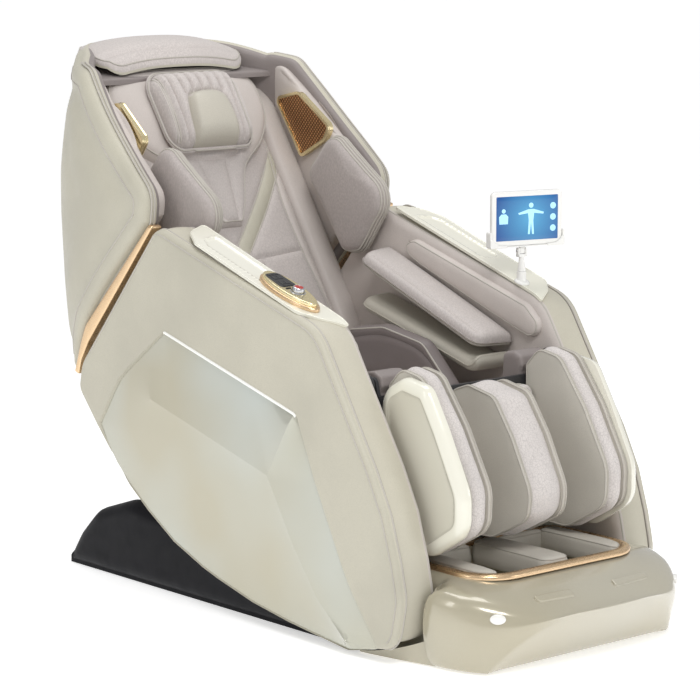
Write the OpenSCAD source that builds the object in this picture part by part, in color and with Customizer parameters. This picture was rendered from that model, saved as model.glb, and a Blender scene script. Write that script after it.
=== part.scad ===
// Massage chair: a cabin seat on a low sled base, with a reclining winged backrest,
// a lifting calf rest and an extending foot box. Front is -Y, rear is +Y, +Z is up.

/* [Overall] */
// Width across the two side shells
overall_w = 800; // [790:5:830]
// Width of one armrest, from its outer face to its inner wall
arm_w = 116; // [112:2:120]
// Height of the top flap above the floor
overall_h = 1260; // [1255:1:1275]

/* [Joint axes] */
// Height of the seat's rear-tilt pivot above the floor
tilt_z = 200; // [195:1:205]
// Height of the backrest hinge above the floor
recline_z = 340; // [336:1:344]
// Height of the calf rest hinge above the floor
leg_hinge_z = 570; // [566:1:574]

/* [Base] */
// Half width of the black base cover
base_half_w = 335; // [325:1:338]
// Wall of moulded covers
wall = 6; // [4:1:8]
// Side of the square steel tube
tube = 30; // [28:1:32]

/* [Backrest] */
// Lean of the back cushion from upright, in degrees
back_lean = 33; // [31:1:34]
// Thickness of the back cushion
cushion_t = 70; // [60:1:70]
// Half width of the back cushion
cushion_half_w = 232; // [220:1:235]

/* [Control and tablet] */
// Width of the tablet
tablet_w = 185; // [170:1:190]
// Height of the tablet
tablet_h = 126; // [115:1:130]
// Turn of the tablet away from facing straight forward, in degrees
tablet_yaw = -15; // [-20:1:0]

/* [Hidden] */
$fn = 48;
x_out = overall_w / 2;
x_in = x_out - arm_w;
gap = 2;
tilt_y = -100;
recline_y = 400;
leg_hinge_y = -370;
arm_slope = 18.26;
arm_front = [-300, 706];
back_foot = [245, 500];
frame_z = 240;
running_fit = 0.07;
wheel_at = [584, 32];
wheel_pin_r = 6;
rocker_pin_r = 1.5;
glide_rod_r = 9;
tilt_pin_r = 10;
jack_y = -185;
jack_rod_r = 7;
recline_pin_r = 12;
leg_pin_r = 9;
foot_rod_r = 9;
sole_pin_r = 6;
back_rod_r = 8;
foot_top_z = 188;

/* ---- outlines ---- */

function unit(v) = v / norm(v);
function xy(p) = [p[0], p[1]];

// The arc of radius r that rounds corner b between a and c, as n + 1 points
function corner(a, b, c, r, n) =
  let (u = unit(a - b), v = unit(c - b), half = acos(u * v) / 2,
       start = b + u * r / tan(half), end = b + v * r / tan(half),
       centre = b + unit(u + v) * r / sin(half))
  [for (i = [0:n]) centre + r * unit((1 - i / n) * (start - centre) + i / n * (end - centre))];

// A closed outline of [y, z, radius] corners, with its corners rounded
function rounded(v, n = 5) =
  [for (i = [0:len(v) - 1])
    let (a = xy(v[(i + len(v) - 1) % len(v)]), b = xy(v[i]), c = xy(v[(i + 1) % len(v)]))
    each (v[i][2] > 0 ? corner(a, b, c, v[i][2], n) : [b])];

// The same outline moved inwards by d; its corners run anticlockwise
function inset(v, d) =
  [for (i = [0:len(v) - 1])
    let (a = xy(v[(i + len(v) - 1) % len(v)]), b = xy(v[i]), c = xy(v[(i + 1) % len(v)]),
         e = unit(b - a), f = unit(c - b), n1 = [-e[1], e[0]], n2 = [-f[1], f[0]],
         p = b + d * (n1 + n2) / (1 + n1 * n2),
         turn = e[0] * f[1] - e[1] * f[0])
    [p[0], p[1], max(v[i][2] + (turn > 0 ? -d : d), 0)]];

// A closed outline with half widths a and b, from a circle (power 1) towards a rectangle
function oval(a, b, power = 1, n = 40) =
  [for (i = [0:n - 1]) let (t = 360 * i / n)
    [a * sign(cos(t)) * pow(abs(cos(t)), power), b * sign(sin(t)) * pow(abs(sin(t)), power)]];

// Side view of a whole armrest and its belly, as [y, z, radius]
belly = [[-440, 12, 60], [-112, 50, 1500], [180, 135, 700], [400, 290, 400]];
arm_outline = concat(
  [[232, 868, 45], [-333, 696, 110], [-566, 330, 600], [-608, 150, 90], [-585, 40, 60]],
  belly, [[474, 372, 30], [545, 452, 35], [532, 515, 70]]);
// Side view of the glossy lower shell
hex_outline = concat(
  [[200, 632, 12], [-270, 506, 25], [-330, 370, 300], [-440, 160, 500], [-540, 34, 12]],
  belly, [[462, 378, 8], [380, 500, 200]]);
// The same upper edge, run out past the belly to cut the band
hex_cut = [
  [200, 632, 12], [-270, 506, 25], [-330, 370, 300], [-440, 160, 500], [-540, 34, 12], [-570, -100, 0],
  [620, -100, 0], [620, 330, 0], [462, 378, 8], [380, 500, 200]];
// Side view of the backrest shell
wing_outline = [
  [812, 1243, 30], [575, 1205, 60], [276, 935, 60], [286, 866, 12], [545, 600, 120], [590, 478, 20],
  [748, 446, 30], [800, 560, 150], [840, 800, 600], [840, 960, 600]];
// Top view of the backrest shell, as [x, y, radius]
shell_plan = [
  [385, 0, 0], [385, 540, 150], [355, 660, 60], [200, 840, 60],
  [-200, 840, 60], [-355, 660, 60], [-385, 540, 150], [-385, 0, 0]];

/* ---- placing and shared shapes ---- */

// A side outline as a slab from x0 to x1
module side_slab(x0, x1, v) {
  translate([x0, 0, 0]) rotate([90, 0, 90]) linear_extrude(x1 - x0) polygon(v);
}

// A bar along X from x0 to x1
module bar_x(x0, x1, y, z, r) {
  translate([x0, y, z]) rotate([0, 90, 0]) cylinder(h = x1 - x0, r = r);
}

// A bar along Y from y0 to y1
module bar_y(y0, y1, x, z, r) {
  translate([x, y0, z]) rotate([-90, 0, 0]) cylinder(h = y1 - y0, r = r);
}

module block(low, high) {
  translate(low) cube(high - low);
}

// A hollow square tube between two corners, along one axis
module box_tube(low, high, axis) {
  t = 2.5;
  along = [for (k = [0:2]) k == axis ? -1 : t];
  difference() {
    block(low, high);
    block(low + along, high - along);
  }
}

module both_sides() {
  children();
  mirror([1, 0, 0]) children();
}

// The armrest's top plane: +Y runs up the slope to the rear, +Z is square to the plane
module on_arm_top(x, y, z = 0) {
  translate([x, arm_front[0], arm_front[1]]) rotate([arm_slope, 0, 0]) translate([0, y, z]) children();
}

// The back's own plane: +Z runs up the back, +Y points through it to the rear
module on_back(s, n = 0) {
  translate([0, back_foot[0], back_foot[1]]) rotate([-back_lean, 0, 0]) translate([0, n, s]) children();
}

/* ---- base ---- */

module base_feet() {
  color([0.08, 0.08, 0.08]) both_sides() for (y = [-320, 560])
    translate([250, y, 0]) cylinder(h = 18, r = 24);
}

module base_frame() {
  color([0.2, 0.2, 0.21]) union() {
    both_sides() {
      box_tube([235, -345, 18], [265, 590, 48], 1);
      // wheel fork
      for (x = [284, 316]) block([x, 566, 22], [x + 4, 600, 60]);
      block([265, 575, 30], [288, 590, 48]);
      block([284, 566, 60], [320, 600, 64]);
      bar_x(288, 316, wheel_at[0], wheel_at[1], wheel_pin_r);
    }
    for (y = [-345, 100, 560]) box_tube([-235, y, 18], [235, y + tube, 48], 0);
    // actuator bracket
    for (x = [-26, 20]) block([x, 105, 48], [x + 6, 125, 92]);
  }
}

module transport_wheels() {
  color([0.15, 0.15, 0.16]) both_sides() difference() {
    bar_x(290, 314, wheel_at[0], wheel_at[1], 24);
    bar_x(289, 315, wheel_at[0], wheel_at[1], wheel_pin_r + running_fit);
  }
}

module glide_rails() {
  color([0.75, 0.76, 0.78]) both_sides() block([240, -330, 48], [260, 330, 62]);
}

base_outline = [
  [660, 0, 0], [660, 18, 10], [578, 92, 25], [545, 130, 30], [365, 190, 60], [200, 172, 60],
  [-50, 108, 60], [-300, 66, 40], [-354, 34, 12], [-354, 0, 0]];

module base_shell() {
  color([0.09, 0.09, 0.1]) difference() {
    side_slab(-base_half_w, base_half_w, rounded(base_outline));
    side_slab(wall - base_half_w, base_half_w - wall, rounded(inset(base_outline, wall)));
    // the underside is open
    block([wall - base_half_w, wall - 354, -1], [base_half_w - wall, 654, 14]);
    block([-305, wall - 354, 20], [305, 480, 250]);
    block([-71, 600, 26], [71, 700, 66]);
  }
}

module power_inlet() {
  color([0.12, 0.12, 0.12]) difference() {
    block([-69, 606, 28], [69, 640, 64]);
    block([-55, 622, 34], [-5, 641, 58]);
    block([19, 618, 33.5], [61, 641, 58.5]);
    bar_x(16, 64, 634, 46, rocker_pin_r + running_fit);
  }
  // three contacts of the inlet
  color([0.8, 0.7, 0.4]) for (x = [-42, -30, -18]) block([x - 1.5, 620, 42], [x + 1.5, 634, 50]);
}

module power_switch() {
  color([0.55, 0.08, 0.07]) translate([40, 634, 46]) union() {
    side_slab(-18, 18, [[-8, -9], [2, -10], [6, -9.5], [2, 0], [6, 9.5], [2, 10], [-8, 9]]);
    bar_x(-23, 23, 0, 0, rocker_pin_r);
  }
}

module glide_actuator() {
  color([0.3, 0.31, 0.33]) difference() {
    union() {
      bar_y(-60, 222, 0, 82, 17);
      block([-24, 222, 58], [24, 300, 102]);
      bar_y(104, 126, 0, 82, 20);
    }
    bar_y(-61, 180, 0, 82, glide_rod_r + running_fit);
  }
}

/* ---- glide carriage ---- */

module glide_rod() {
  color([0.8, 0.8, 0.82]) bar_y(-190, 60, 0, 82, glide_rod_r);
}

module glide_carriage() {
  color([0.25, 0.25, 0.27]) difference() {
    union() {
      both_sides() {
        for (y = [-220, 120]) block([226, y, 52], [274, y + 80, 104]);
        block([226, -220, 104], [274, 200, 112]);
        // upright with the tilt bearing
        side_slab(243, 257, [[tilt_y - 50, 110], [tilt_y + 50, 110], [tilt_y + 22, tilt_z],
                             [tilt_y - 22, tilt_z]]);
        bar_x(243, 257, tilt_y, tilt_z, 22);
      }
      for (y = [-215, 130]) block([-230, y, 104], [230, y + 60, 110]);
      block([-15, -210, 66], [15, -190, 106]);
    }
    both_sides() {
      block([239.5, -400, 40], [260.5, 400, 63]);
      bar_x(240, 260, tilt_y, tilt_z, tilt_pin_r + running_fit);
    }
  }
}

module tilt_jack() {
  color([0.3, 0.31, 0.33]) difference() {
    union() {
      translate([0, jack_y, 110]) cylinder(h = 56, r = 15);
      // its motor
      block([8, jack_y - 15, 110], [66, jack_y + 15, 142]);
    }
    translate([0, jack_y, 114]) cylinder(h = 60, r = jack_rod_r + running_fit);
  }
}

module tilt_rod() {
  color([0.8, 0.8, 0.82]) difference() {
    union() {
      translate([0, jack_y, 118]) cylinder(h = 75, r = jack_rod_r);
      bar_x(-8, 8, jack_y, tilt_z, 11);
    }
    bar_x(-9, 9, jack_y, tilt_z, 7);
  }
}

/* ---- seat ---- */

module seat_frame() {
  color([0.2, 0.2, 0.21]) difference() {
    union() {
      both_sides() {
        box_tube([208, -370, frame_z], [238, 420, frame_z + tube], 1);
        // hanger and pin of the tilt pivot
        block([214, tilt_y - 25, tilt_z - 22], [236, tilt_y + 25, frame_z + 4]);
        bar_x(216, 262, tilt_y, tilt_z, tilt_pin_r);
        // bearing lug of the backrest
        side_slab(214, 232, [[recline_y - 50, 266], [recline_y + 20, 266], [recline_y + 24, recline_z],
                             [recline_y - 24, recline_z]]);
        bar_x(214, 232, recline_y, recline_z, 24);
        // posts under the seat pan
        for (y = [-290, 150]) box_tube([208, y, frame_z + 28], [238, y + tube, 388], 2);
        // bracket of the calf rest
        side_slab(272, 281, [[-396, 215], [-325, 215], [leg_hinge_y + 22, leg_hinge_z],
                             [leg_hinge_y - 22, leg_hinge_z]]);
        bar_x(272, 281, leg_hinge_y, leg_hinge_z, 22);
      }
      box_tube([-x_in, -350, frame_z - tube], [x_in, -320, frame_z], 0);
      box_tube([-x_in, 285, frame_z - tube], [x_in, 315, frame_z], 0);
      box_tube([-210, 30, frame_z - tube], [210, 60, frame_z], 0);
      // crossbar, lugs and pin over the tilt jack
      box_tube([-210, jack_y - 15, frame_z - 26], [210, jack_y + 15, frame_z + 4], 0);
      for (x = [-16, 10]) side_slab(x, x + 6, [[jack_y - 12, frame_z - 24], [jack_y + 12, frame_z - 24],
                                               [jack_y + 7, tilt_z - 6], [jack_y - 7, tilt_z - 6]]);
      bar_x(-16, 16, jack_y, tilt_z, 5);
      // clevis of the back actuator
      for (x = [-27, 19]) side_slab(x, x + 8, [[25, 236], [65, 236], [57, 278], [33, 278]]);
      // seat pan
      block([-262, -320, 388], [262, 200, 400]);
    }
    both_sides() {
      bar_x(210, 240, recline_y, recline_z, recline_pin_r + running_fit);
      bar_x(270, 283, leg_hinge_y, leg_hinge_z, leg_pin_r + running_fit);
    }
    bar_x(-40, 40, 45, 262, 6);
  }
}

module leg_motors() {
  color([0.3, 0.31, 0.33]) both_sides() difference() {
    union() {
      bar_x(196, 252, leg_hinge_y, leg_hinge_z, 15);
      // torque arm down to the seat frame
      block([212, leg_hinge_y - 7, frame_z + tube], [234, leg_hinge_y + 7, leg_hinge_z]);
    }
    bar_x(238, 253, leg_hinge_y, leg_hinge_z, leg_pin_r + running_fit);
  }
}

module control_box() {
  // air pump and power supply, hung under the seat pan
  color([0.16, 0.16, 0.17]) {
    block([-150, -150, 300], [-20, 40, 387]);
    block([20, -120, 320], [150, 10, 387]);
  }
}

module seat_cushion() {
  color([0.8, 0.77, 0.75]) side_slab(-270, 270,
    rounded([[215, 402, 20], [215, 480, 30], [-60, 462, 200], [-318, 470, 30], [-318, 402, 20]]));
}

module hip_pads() {
  color([0.66, 0.63, 0.62]) both_sides() side_slab(122, 160,
    rounded([[160, 485, 15], [168, 590, 30], [30, 612, 60], [-110, 590, 60],
             [-205, 500, 6], [-200, 485, 4]]));
}

module arm_core() {
  // solid inner wall behind the upholstery, clear of the base
  core = [[204, 840, 30], [-322, 681, 95], [-549, 325, 500], [-588, 150, 75], [-563, 62, 75], [-450, 48, 10],
          [-420, 66, 10], [-410, 215, 10], [320, 255, 60], [455, 380, 20], [522, 458, 20], [510, 505, 50]];
  color([0.62, 0.6, 0.58]) side_slab(x_in, 344, rounded(core));
}

module arm_band() {
  // padded cover: the side face round the glossy shell, and a rim over the top and the front
  rim = 15;
  color([0.86, 0.85, 0.79]) difference() {
    side_slab(x_in, 392, rounded(arm_outline));
    side_slab(x_in - 1, 345, rounded(inset(arm_outline, rim)));
    side_slab(340, 401, rounded(hex_cut));
    // the inner side is open below the seat and behind the front rim
    block([x_in - 2, -430, -10], [345, 640, 560]);
    block([x_in - 2, -700, -10], [345, -390, 46]);
  }
}

module side_shell() {
  color([0.84, 0.85, 0.78]) difference() {
    side_slab(352, x_out, rounded(hex_outline));
    side_slab(351, 388, rounded(inset(hex_outline, 10)));
  }
}

module arm_tops() {
  color([0.93, 0.92, 0.85]) both_sides() on_arm_top(0, 0) linear_extrude(6)
    polygon(rounded([[x_in + 8, 20, 6], [380, 45, 30], [380, 440, 30], [x_in + 8, 500, 10]]));
}

// Two padded shelves on each armrest's wall: the forearm goes between them
module forearm_pads() {
  shelf = rounded([[172, 14, 30], [x_in - 2, 0, 10], [x_in - 2, 472, 10], [172, 450, 40]]);
  color([0.78, 0.75, 0.73]) both_sides() {
    translate([0, -243, 575]) rotate([21, 0, 0]) linear_extrude(36) polygon(shelf);
    translate([0, -262, 515]) rotate([15.3, 0, 0]) linear_extrude(26) polygon(shelf);
  }
}

/* ---- controls and tablet, on the armrests ---- */

pod_y = 130;

module control_pod() {
  color([0.83, 0.72, 0.5]) on_arm_top(-334, pod_y, 6.3) difference() {
    union() {
      linear_extrude(10) polygon(oval(36, 98, 0.9));
      translate([0, 0, 10]) linear_extrude(6) polygon(oval(30, 90, 0.9));
    }
    translate([0, -26, 9]) cylinder(h = 8, r = 4.06);
    for (y = [14, 40]) translate([-14, y, 12]) cube([28, 20, 6]);
  }
}

module control_knob() {
  color([0.85, 0.85, 0.86]) on_arm_top(-334, pod_y - 26, 6.3) union() {
    translate([0, 0, 16.4]) cylinder(h = 13, r = 14);
    translate([0, 0, 10]) cylinder(h = 7, r = 4);
  }
}

module control_key(y) {
  color([0.05, 0.05, 0.06]) on_arm_top(-334, pod_y + y, 6.3) translate([-13.5, 0.5, 14]) cube([27, 19, 4.2]);
}

tablet_at = [302, 50];
// Height of the tablet's tilt pin on its pole, and the tablet's offset to the pole's side
nod_z = 80;
tablet_side = 10;

module on_tablet_foot() {
  translate([0, arm_front[0], arm_front[1]])
    translate([tablet_at[0], tablet_at[1] * cos(arm_slope), tablet_at[1] * sin(arm_slope)]) children();
}

module tablet_foot() {
  color([0.94, 0.94, 0.92]) difference() {
    union() {
      on_arm_top(tablet_at[0], tablet_at[1], 6.3) translate([0, 0, 0]) cylinder(h = 6, r = 17);
      on_tablet_foot() translate([0, 0, 10.5]) cylinder(h = 21.5, r = 11);
    }
    on_tablet_foot() translate([0, 0, 16]) cylinder(h = 30, r = 6.06);
  }
}

module tablet_pole() {
  color([0.94, 0.94, 0.92]) on_tablet_foot() rotate([0, 0, tablet_yaw]) difference() {
    union() {
      translate([0, 0, 16.5]) cylinder(h = nod_z - 20, r = 6);
      translate([0, 0, 32.5]) cylinder(h = 8, r = 9.5);
      block([-12, -6, nod_z - 13], [12, 6, nod_z + 7]);
    }
    block([-7, -7, nod_z - 7], [7, 7, nod_z + 8]);
    bar_x(-13, 13, 0, nod_z, 3);
  }
}

module on_tablet_pole() {
  on_tablet_foot() rotate([0, 0, tablet_yaw]) children();
}

module tablet_cradle() {
  clip_x = tablet_w / 2 + 0.5;
  color([0.95, 0.95, 0.94]) on_tablet_pole() union() {
    // ear and pin, spine, lower ledge, back plate and side clips
    block([-6.5, -4, nod_z - 5], [6.5, 4, nod_z + 13]);
    bar_x(-14, 14, 0, nod_z, 2.93);
    translate([tablet_side, 0, nod_z]) {
      block([-clip_x - 5, -9, 10], [clip_x + 5, 10, 13]);
      block([-60, 5.2, 10], [60, 10, 55]);
      for (x = [-clip_x - 5, clip_x]) block([x, -10, 10], [x + 5, 10, 55]);
    }
  }
}

module tablet() {
  half = [tablet_w / 2, tablet_h / 2];
  color([0.96, 0.96, 0.95]) on_tablet_pole() translate([tablet_side, 5, nod_z + 13.2 + half[1]]) rotate([90, 0, 0])
    linear_extrude(12) polygon(rounded([
      [half[0], -half[1], 10], [half[0], half[1], 10], [-half[0], half[1], 10], [-half[0], -half[1], 10]]));
}

/* ---- back actuator ---- */

module back_actuator() {
  color([0.3, 0.31, 0.33]) difference() {
    union() {
      bar_y(50, 300, 0, 262, 15);
      block([-15, 28, 247], [15, 62, 277]);
      bar_y(62, 130, 0, 262, 17);
      translate([-14, 95, 214]) cube([28, 34, 40]);
    }
    bar_y(112, 301, 0, 262, back_rod_r + running_fit);
    bar_x(-16, 16, 45, 262, 6.06);
  }
  bar_x(-28, 28, 45, 262, 5.9);
}

lever_at = [recline_y + 80 * sin(21), recline_z - 80 * cos(21)];

module back_actuator_rod() {
  color([0.8, 0.8, 0.82]) difference() {
    union() {
      bar_y(170, lever_at[0] - 12, 0, 262, back_rod_r);
      bar_x(-9, 9, lever_at[0], 262, 18);
    }
    bar_x(-10, 10, lever_at[0], 262, 12);
  }
}

/* ---- backrest ---- */

module back_frame() {
  color([0.2, 0.2, 0.21]) union() {
    both_sides() {
      on_back(0) box_tube([192, 100, 0], [212, 130, 720], 2);
      // cheek and pin of the hinge
      side_slab(194, 210, [[330, 435], [372, 412], [recline_y + 24, recline_z], [recline_y - 24, recline_z]]);
      bar_x(194, 210, recline_y, recline_z, 24);
      bar_x(200, 231, recline_y, recline_z, recline_pin_r);
      // lever of the actuator
      side_slab(10, 18, [[lever_at[0] - 12, lever_at[1]], [lever_at[0] + 12, lever_at[1]],
                         [recline_y + 16, recline_z], [recline_y - 16, recline_z]]);
      bar_x(10, 18, lever_at[0], lever_at[1], 12);
    }
    bar_x(-196, 196, recline_y, recline_z, 16);
    bar_x(-12, 12, lever_at[0], lever_at[1], 5);
    for (s = [40, 690]) on_back(s) box_tube([-192, 102, 0], [192, 128, 26], 0);
    // struts to the rear shell
    for (x = [-170, 150]) block([x, 712, 1012], [x + 20, 816.5, 1032]);
  }
}

module track_rails() {
  color([0.72, 0.73, 0.75]) both_sides() on_back(0) union() {
    block([160, 96, 70], [180, 124, 682]);
    // rack of the drive
    for (k = [0:29]) block([156.5, 104, 80 + 20 * k], [160, 116, 88 + 20 * k]);
  }
}

module rear_shell() {
  color([0.84, 0.84, 0.77]) difference() {
    intersection() {
      side_slab(-329, 329, rounded(wing_outline));
      linear_extrude(1300) polygon(rounded(shell_plan));
    }
    intersection() {
      side_slab(-330, 330, rounded(inset(wing_outline, 16)));
      linear_extrude(1300) polygon(rounded(inset(shell_plan, 16)));
    }
    block([-400, 0, 400], [400, 640, 1300]);
  }
}

module wing() {
  color([0.84, 0.84, 0.77]) intersection() {
    side_slab(330, 386, rounded(wing_outline));
    linear_extrude(1300) polygon(rounded(shell_plan));
  }
}

module wing_trims() {
  color([0.78, 0.6, 0.42]) both_sides() side_slab(342, 372,
    [[283, 866], [536, 603], [556, 560], [584, 484], [558, 478], [550, 512], [518, 556], [252, 862]]);
}

module wing_linings() {
  color([0.72, 0.69, 0.68]) both_sides() difference() {
    side_slab(300, 329, rounded(inset(wing_outline, 14)));
    block([290, 636, 400], [340, 900, 1300]);
  }
}

speaker_outline = [[606, 1108, 16], [512, 1128, 22], [400, 1048, 18], [424, 1012, 10], [520, 962, 14]];

module speakers() {
  both_sides() {
    color([0.85, 0.66, 0.45]) side_slab(284, 299.5, rounded(speaker_outline));
    color([0.55, 0.38, 0.24]) side_slab(282, 284, rounded(inset(speaker_outline, 7)));
  }
}

module shoulder_pad() {
  color([0.76, 0.73, 0.72]) {
    side_slab(230, x_in - 0.4,
      rounded([[449, 934, 40], [351, 1043, 45], [143, 899, 55], [247, 753, 40], [309, 749, 30]]));
    // mounting block against the lining, above the armrest
    side_slab(x_in - 1, 299.5, rounded([[430, 930, 20], [350, 1020, 20], [300, 985, 10], [350, 890, 10]]));
  }
}

module back_cushion() {
  color([0.8, 0.77, 0.76]) on_back(0) side_slab(-cushion_half_w, cushion_half_w,
    rounded([[cushion_t, 10, 10], [cushion_t, 790, 20], [0, 790, 30], [0, 10, 30]]));
}

module head_pad() {
  color([0.82, 0.8, 0.78]) on_back(0) side_slab(-160, 160,
    [[-0.5, 385], [-0.5, 788], [-28, 790], [-32, 420], [-20, 385]]);
}

module head_flap() {
  // padded cover that folds over the top of the shell
  color([0.82, 0.8, 0.78]) side_slab(-190, 190,
    [[668, 1226], [806, 1246], [804, overall_h], [740, overall_h], [660, 1250]]);
}

module head_pillow() {
  color([0.83, 0.81, 0.79]) on_back(0) side_slab(-134, 134,
    rounded([[-33, 566, 20], [-33, 775, 20], [-112, 760, 40], [-118, 582, 45]]));
}

/* ---- massage mechanism, on the backrest's track ---- */

knead_s = 210;

module massage_carriage() {
  color([0.28, 0.28, 0.3]) on_back(0) difference() {
    union() {
      block([-188, 138, 150], [188, 148, 280]);
      block([-148, 138, 130], [148, 148, 300]);
      for (x = [-148, 136]) block([x, 100, 140], [x + 12, 139, 290]);
      // guide shoes on the two rails
      for (x = [-188, 150]) block([x, 126, 150], [x + 38, 139, 280]);
      // kneading motor
      block([-60, 147, 160], [60, 186, 250]);
      // bearings of the rocking shaft
      for (x = [-100, 88]) block([x, 112, knead_s - 14], [x + 12, 139, knead_s + 14]);
    }
    bar_x(-120, 120, 118, knead_s, 4 + running_fit);
  }
}

module roller_arms() {
  color([0.75, 0.75, 0.77]) on_back(0) union() {
    bar_x(-104, 104, 118, knead_s, 4);
    for (x = [-66, 58]) {
      side_slab(x, x + 8, [[112, knead_s - 9], [124, knead_s - 9], [124, knead_s + 9], [112, knead_s + 9]]);
      side_slab(x, x + 8, [[106, knead_s - 62], [116, knead_s - 62], [116, knead_s + 62], [106, knead_s + 62]]);
      for (s = [-54, 54]) {
        bar_x(x, x + 8, 104, knead_s + s, 9);
        bar_x(x - 16, x + 24, 104, knead_s + s, 4);
      }
    }
  }
}

// The four rollers on one pair of arm ends, s up the back
module rollers(s) {
  color([0.9, 0.88, 0.82]) on_back(0) for (x = [-62, 62]) for (k = [-1, 1]) difference() {
    bar_x(x + 12 * k - 6, x + 12 * k + 6, 104, s, 26);
    bar_x(x - 30, x + 30, 104, s, 4 + running_fit);
  }
}

/* ---- calf rest ---- */

cover_outline = [
  [-405, 225, 30], [-400, 560, 60], [-470, 598, 40], [-548, 585, 40], [-600, 500, 120], [-668, 370, 90],
  [-668, 285, 60], [-560, 216, 60]];
outer_outline = [
  [-402, 216, 20], [-396, 570, 30], [-440, 616, 40], [-510, 604, 50], [-590, 500, 120], [-664, 370, 90],
  [-660, 280, 60], [-540, 212, 60]];
mid_outline = [
  [-402, 218, 20], [-396, 540, 30], [-455, 562, 40], [-540, 545, 50], [-600, 460, 120], [-660, 345, 80],
  [-650, 280, 50], [-540, 222, 60]];

module calf_frame() {
  color([0.22, 0.22, 0.24]) union() {
    block([-262, -396, 230], [262, -388, 545]);
    both_sides() {
      // ear and pin of the hinge
      side_slab(254, 262, [[-396, 470], [-388, 470], [leg_hinge_y + 12, leg_hinge_z - 8],
                           [leg_hinge_y + 4, leg_hinge_z + 12], [leg_hinge_y - 12, leg_hinge_z + 8], [-396, 530]]);
      bar_x(254, 262, leg_hinge_y, leg_hinge_z, 14);
      bar_x(240, 281, leg_hinge_y, leg_hinge_z, leg_pin_r);
      // sleeve of the foot slide
      difference() {
        translate([110, -372, 252]) cylinder(h = 228, r = 15);
        translate([110, -372, 250]) cylinder(h = 214, r = foot_rod_r + running_fit);
      }
      block([104, -390, 254], [116, -385, 460]);
    }
  }
}

module calf_covers() {
  color([0.9, 0.9, 0.82]) both_sides()
    side_slab(242, 268, [for (p = rounded(cover_outline)) [min(p[0], -398), p[1]]]);
}

module calf_pads() {
  color([0.82, 0.8, 0.76]) {
    both_sides() side_slab(172, 241, [for (p = rounded(outer_outline)) [min(p[0], -397), p[1]]]);
    side_slab(-58, 58, [for (p = rounded(mid_outline)) [min(p[0], -397), p[1]]]);
    both_sides() side_slab(59, 171, [[-397, 235], [-397, 530], [-430, 520], [-440, 380], [-430, 235]]);
  }
}

/* ---- foot box ---- */

foot_side = [
  [-405, 3, 0], [-405, foot_top_z, 8], [-690, foot_top_z, 60], [-840, 146, 12], [-840, 128, 20], [-756, 3, 30]];
sole_y = [-610, -510];
foot_plan = [
  [272, -405, 0], [272, -608, 4], [338, -618, 20], [300, -735, 60], [238, -840, 60],
  [-238, -840, 60], [-300, -735, 60], [-338, -618, 20], [-272, -608, 4], [-272, -405, 0]];
// The skirt runs back under the armrests; its top is an arc round the calf rest's hinge
skirt_r = 569;
skirt_side = concat([[-640, 3], [-428, 3]],
  [for (a = [6:3:24]) [leg_hinge_y - skirt_r * sin(a), leg_hinge_z - skirt_r * cos(a)]], [[-640, 55]]);
skirt_plan = [
  [357, -405, 0], [352, -467, 0], [336, -546, 300], [312, -632, 30],
  [-312, -632, 30], [-336, -546, 300], [-352, -467, 0], [-357, -405, 0]];
well_plan = [[212, -436, 40], [212, -690, 60], [26, -690, 30], [26, -436, 30]];

module foot_shell() {
  color([0.88, 0.88, 0.81]) difference() {
    union() {
      intersection() {
        side_slab(-380, 380, rounded(foot_side));
        linear_extrude(300) polygon(rounded(foot_plan));
      }
      intersection() {
        side_slab(-380, 380, skirt_side);
        linear_extrude(300) polygon(rounded(skirt_plan));
      }
    }
    both_sides() {
      translate([0, 0, 26]) linear_extrude(300) polygon(rounded(well_plan));
      // underside pocket beside the wells
      block([236, -600, -1], [262, -420, 150]);
    }
    for (y = sole_y) bar_x(-222, 222, y, 48, sole_pin_r + running_fit);
  }
  // carrier and slide rods at the rear
  color([0.75, 0.75, 0.77]) both_sides() {
    translate([110, -372, 24]) cylinder(h = 400, r = foot_rod_r);
    translate([110, -372, 24]) cylinder(h = 60, r = 13.5);
    block([98, -406, 28], [122, -372, 80]);
  }
}

module foot_ring() {
  ring = [[244, -418, 50], [244, -716, 90], [-244, -716, 90], [-244, -418, 50]];
  color([0.8, 0.62, 0.42]) translate([0, 0, foot_top_z]) linear_extrude(9) difference() {
    polygon(rounded(ring));
    polygon(rounded([[222, -438, 35], [222, -695, 70], [-222, -695, 70], [-222, -438, 35]]));
  }
}

// A shaft with five pairs of rollers under each sole
module sole_roller(y) {
  color([0.35, 0.33, 0.32]) {
    bar_x(-220, 220, y, 48, sole_pin_r);
    for (x = [40, 74, 108, 142, 176]) for (k = [-1, 1]) bar_x(k * (x + 9) - 9, k * (x + 9) + 9, y, 48, 15);
  }
}

/* ---- the object ---- */

base_frame();
base_shell();
base_feet();
glide_rails();
power_inlet();
power_switch();
glide_actuator();
transport_wheels();
glide_carriage();
glide_rod();
tilt_jack();
tilt_rod();
seat_frame();
seat_cushion();
leg_motors();
control_box();
mirror([1, 0, 0]) arm_core();  // arm_core_right
arm_core();  // arm_core_left
mirror([1, 0, 0]) arm_band();  // arm_band_right
arm_band();  // arm_band_left
mirror([1, 0, 0]) side_shell();  // side_shell_right
side_shell();  // side_shell_left
arm_tops();
forearm_pads();
hip_pads();
control_pod();
control_knob();
control_key(14);  // control_key_a
control_key(40);  // control_key_b
tablet_foot();
tablet_pole();
tablet_cradle();
tablet();
back_actuator();
back_actuator_rod();
back_frame();
track_rails();
rear_shell();
mirror([1, 0, 0]) wing();  // wing_right
wing();  // wing_left
wing_trims();
wing_linings();
speakers();
mirror([1, 0, 0]) shoulder_pad();  // shoulder_pad_right
shoulder_pad();  // shoulder_pad_left
back_cushion();
head_pad();
head_flap();
head_pillow();
massage_carriage();
roller_arms();
rollers(knead_s + 54);  // upper_rollers
rollers(knead_s - 54);  // lower_rollers
calf_frame();
calf_covers();
calf_pads();
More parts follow.
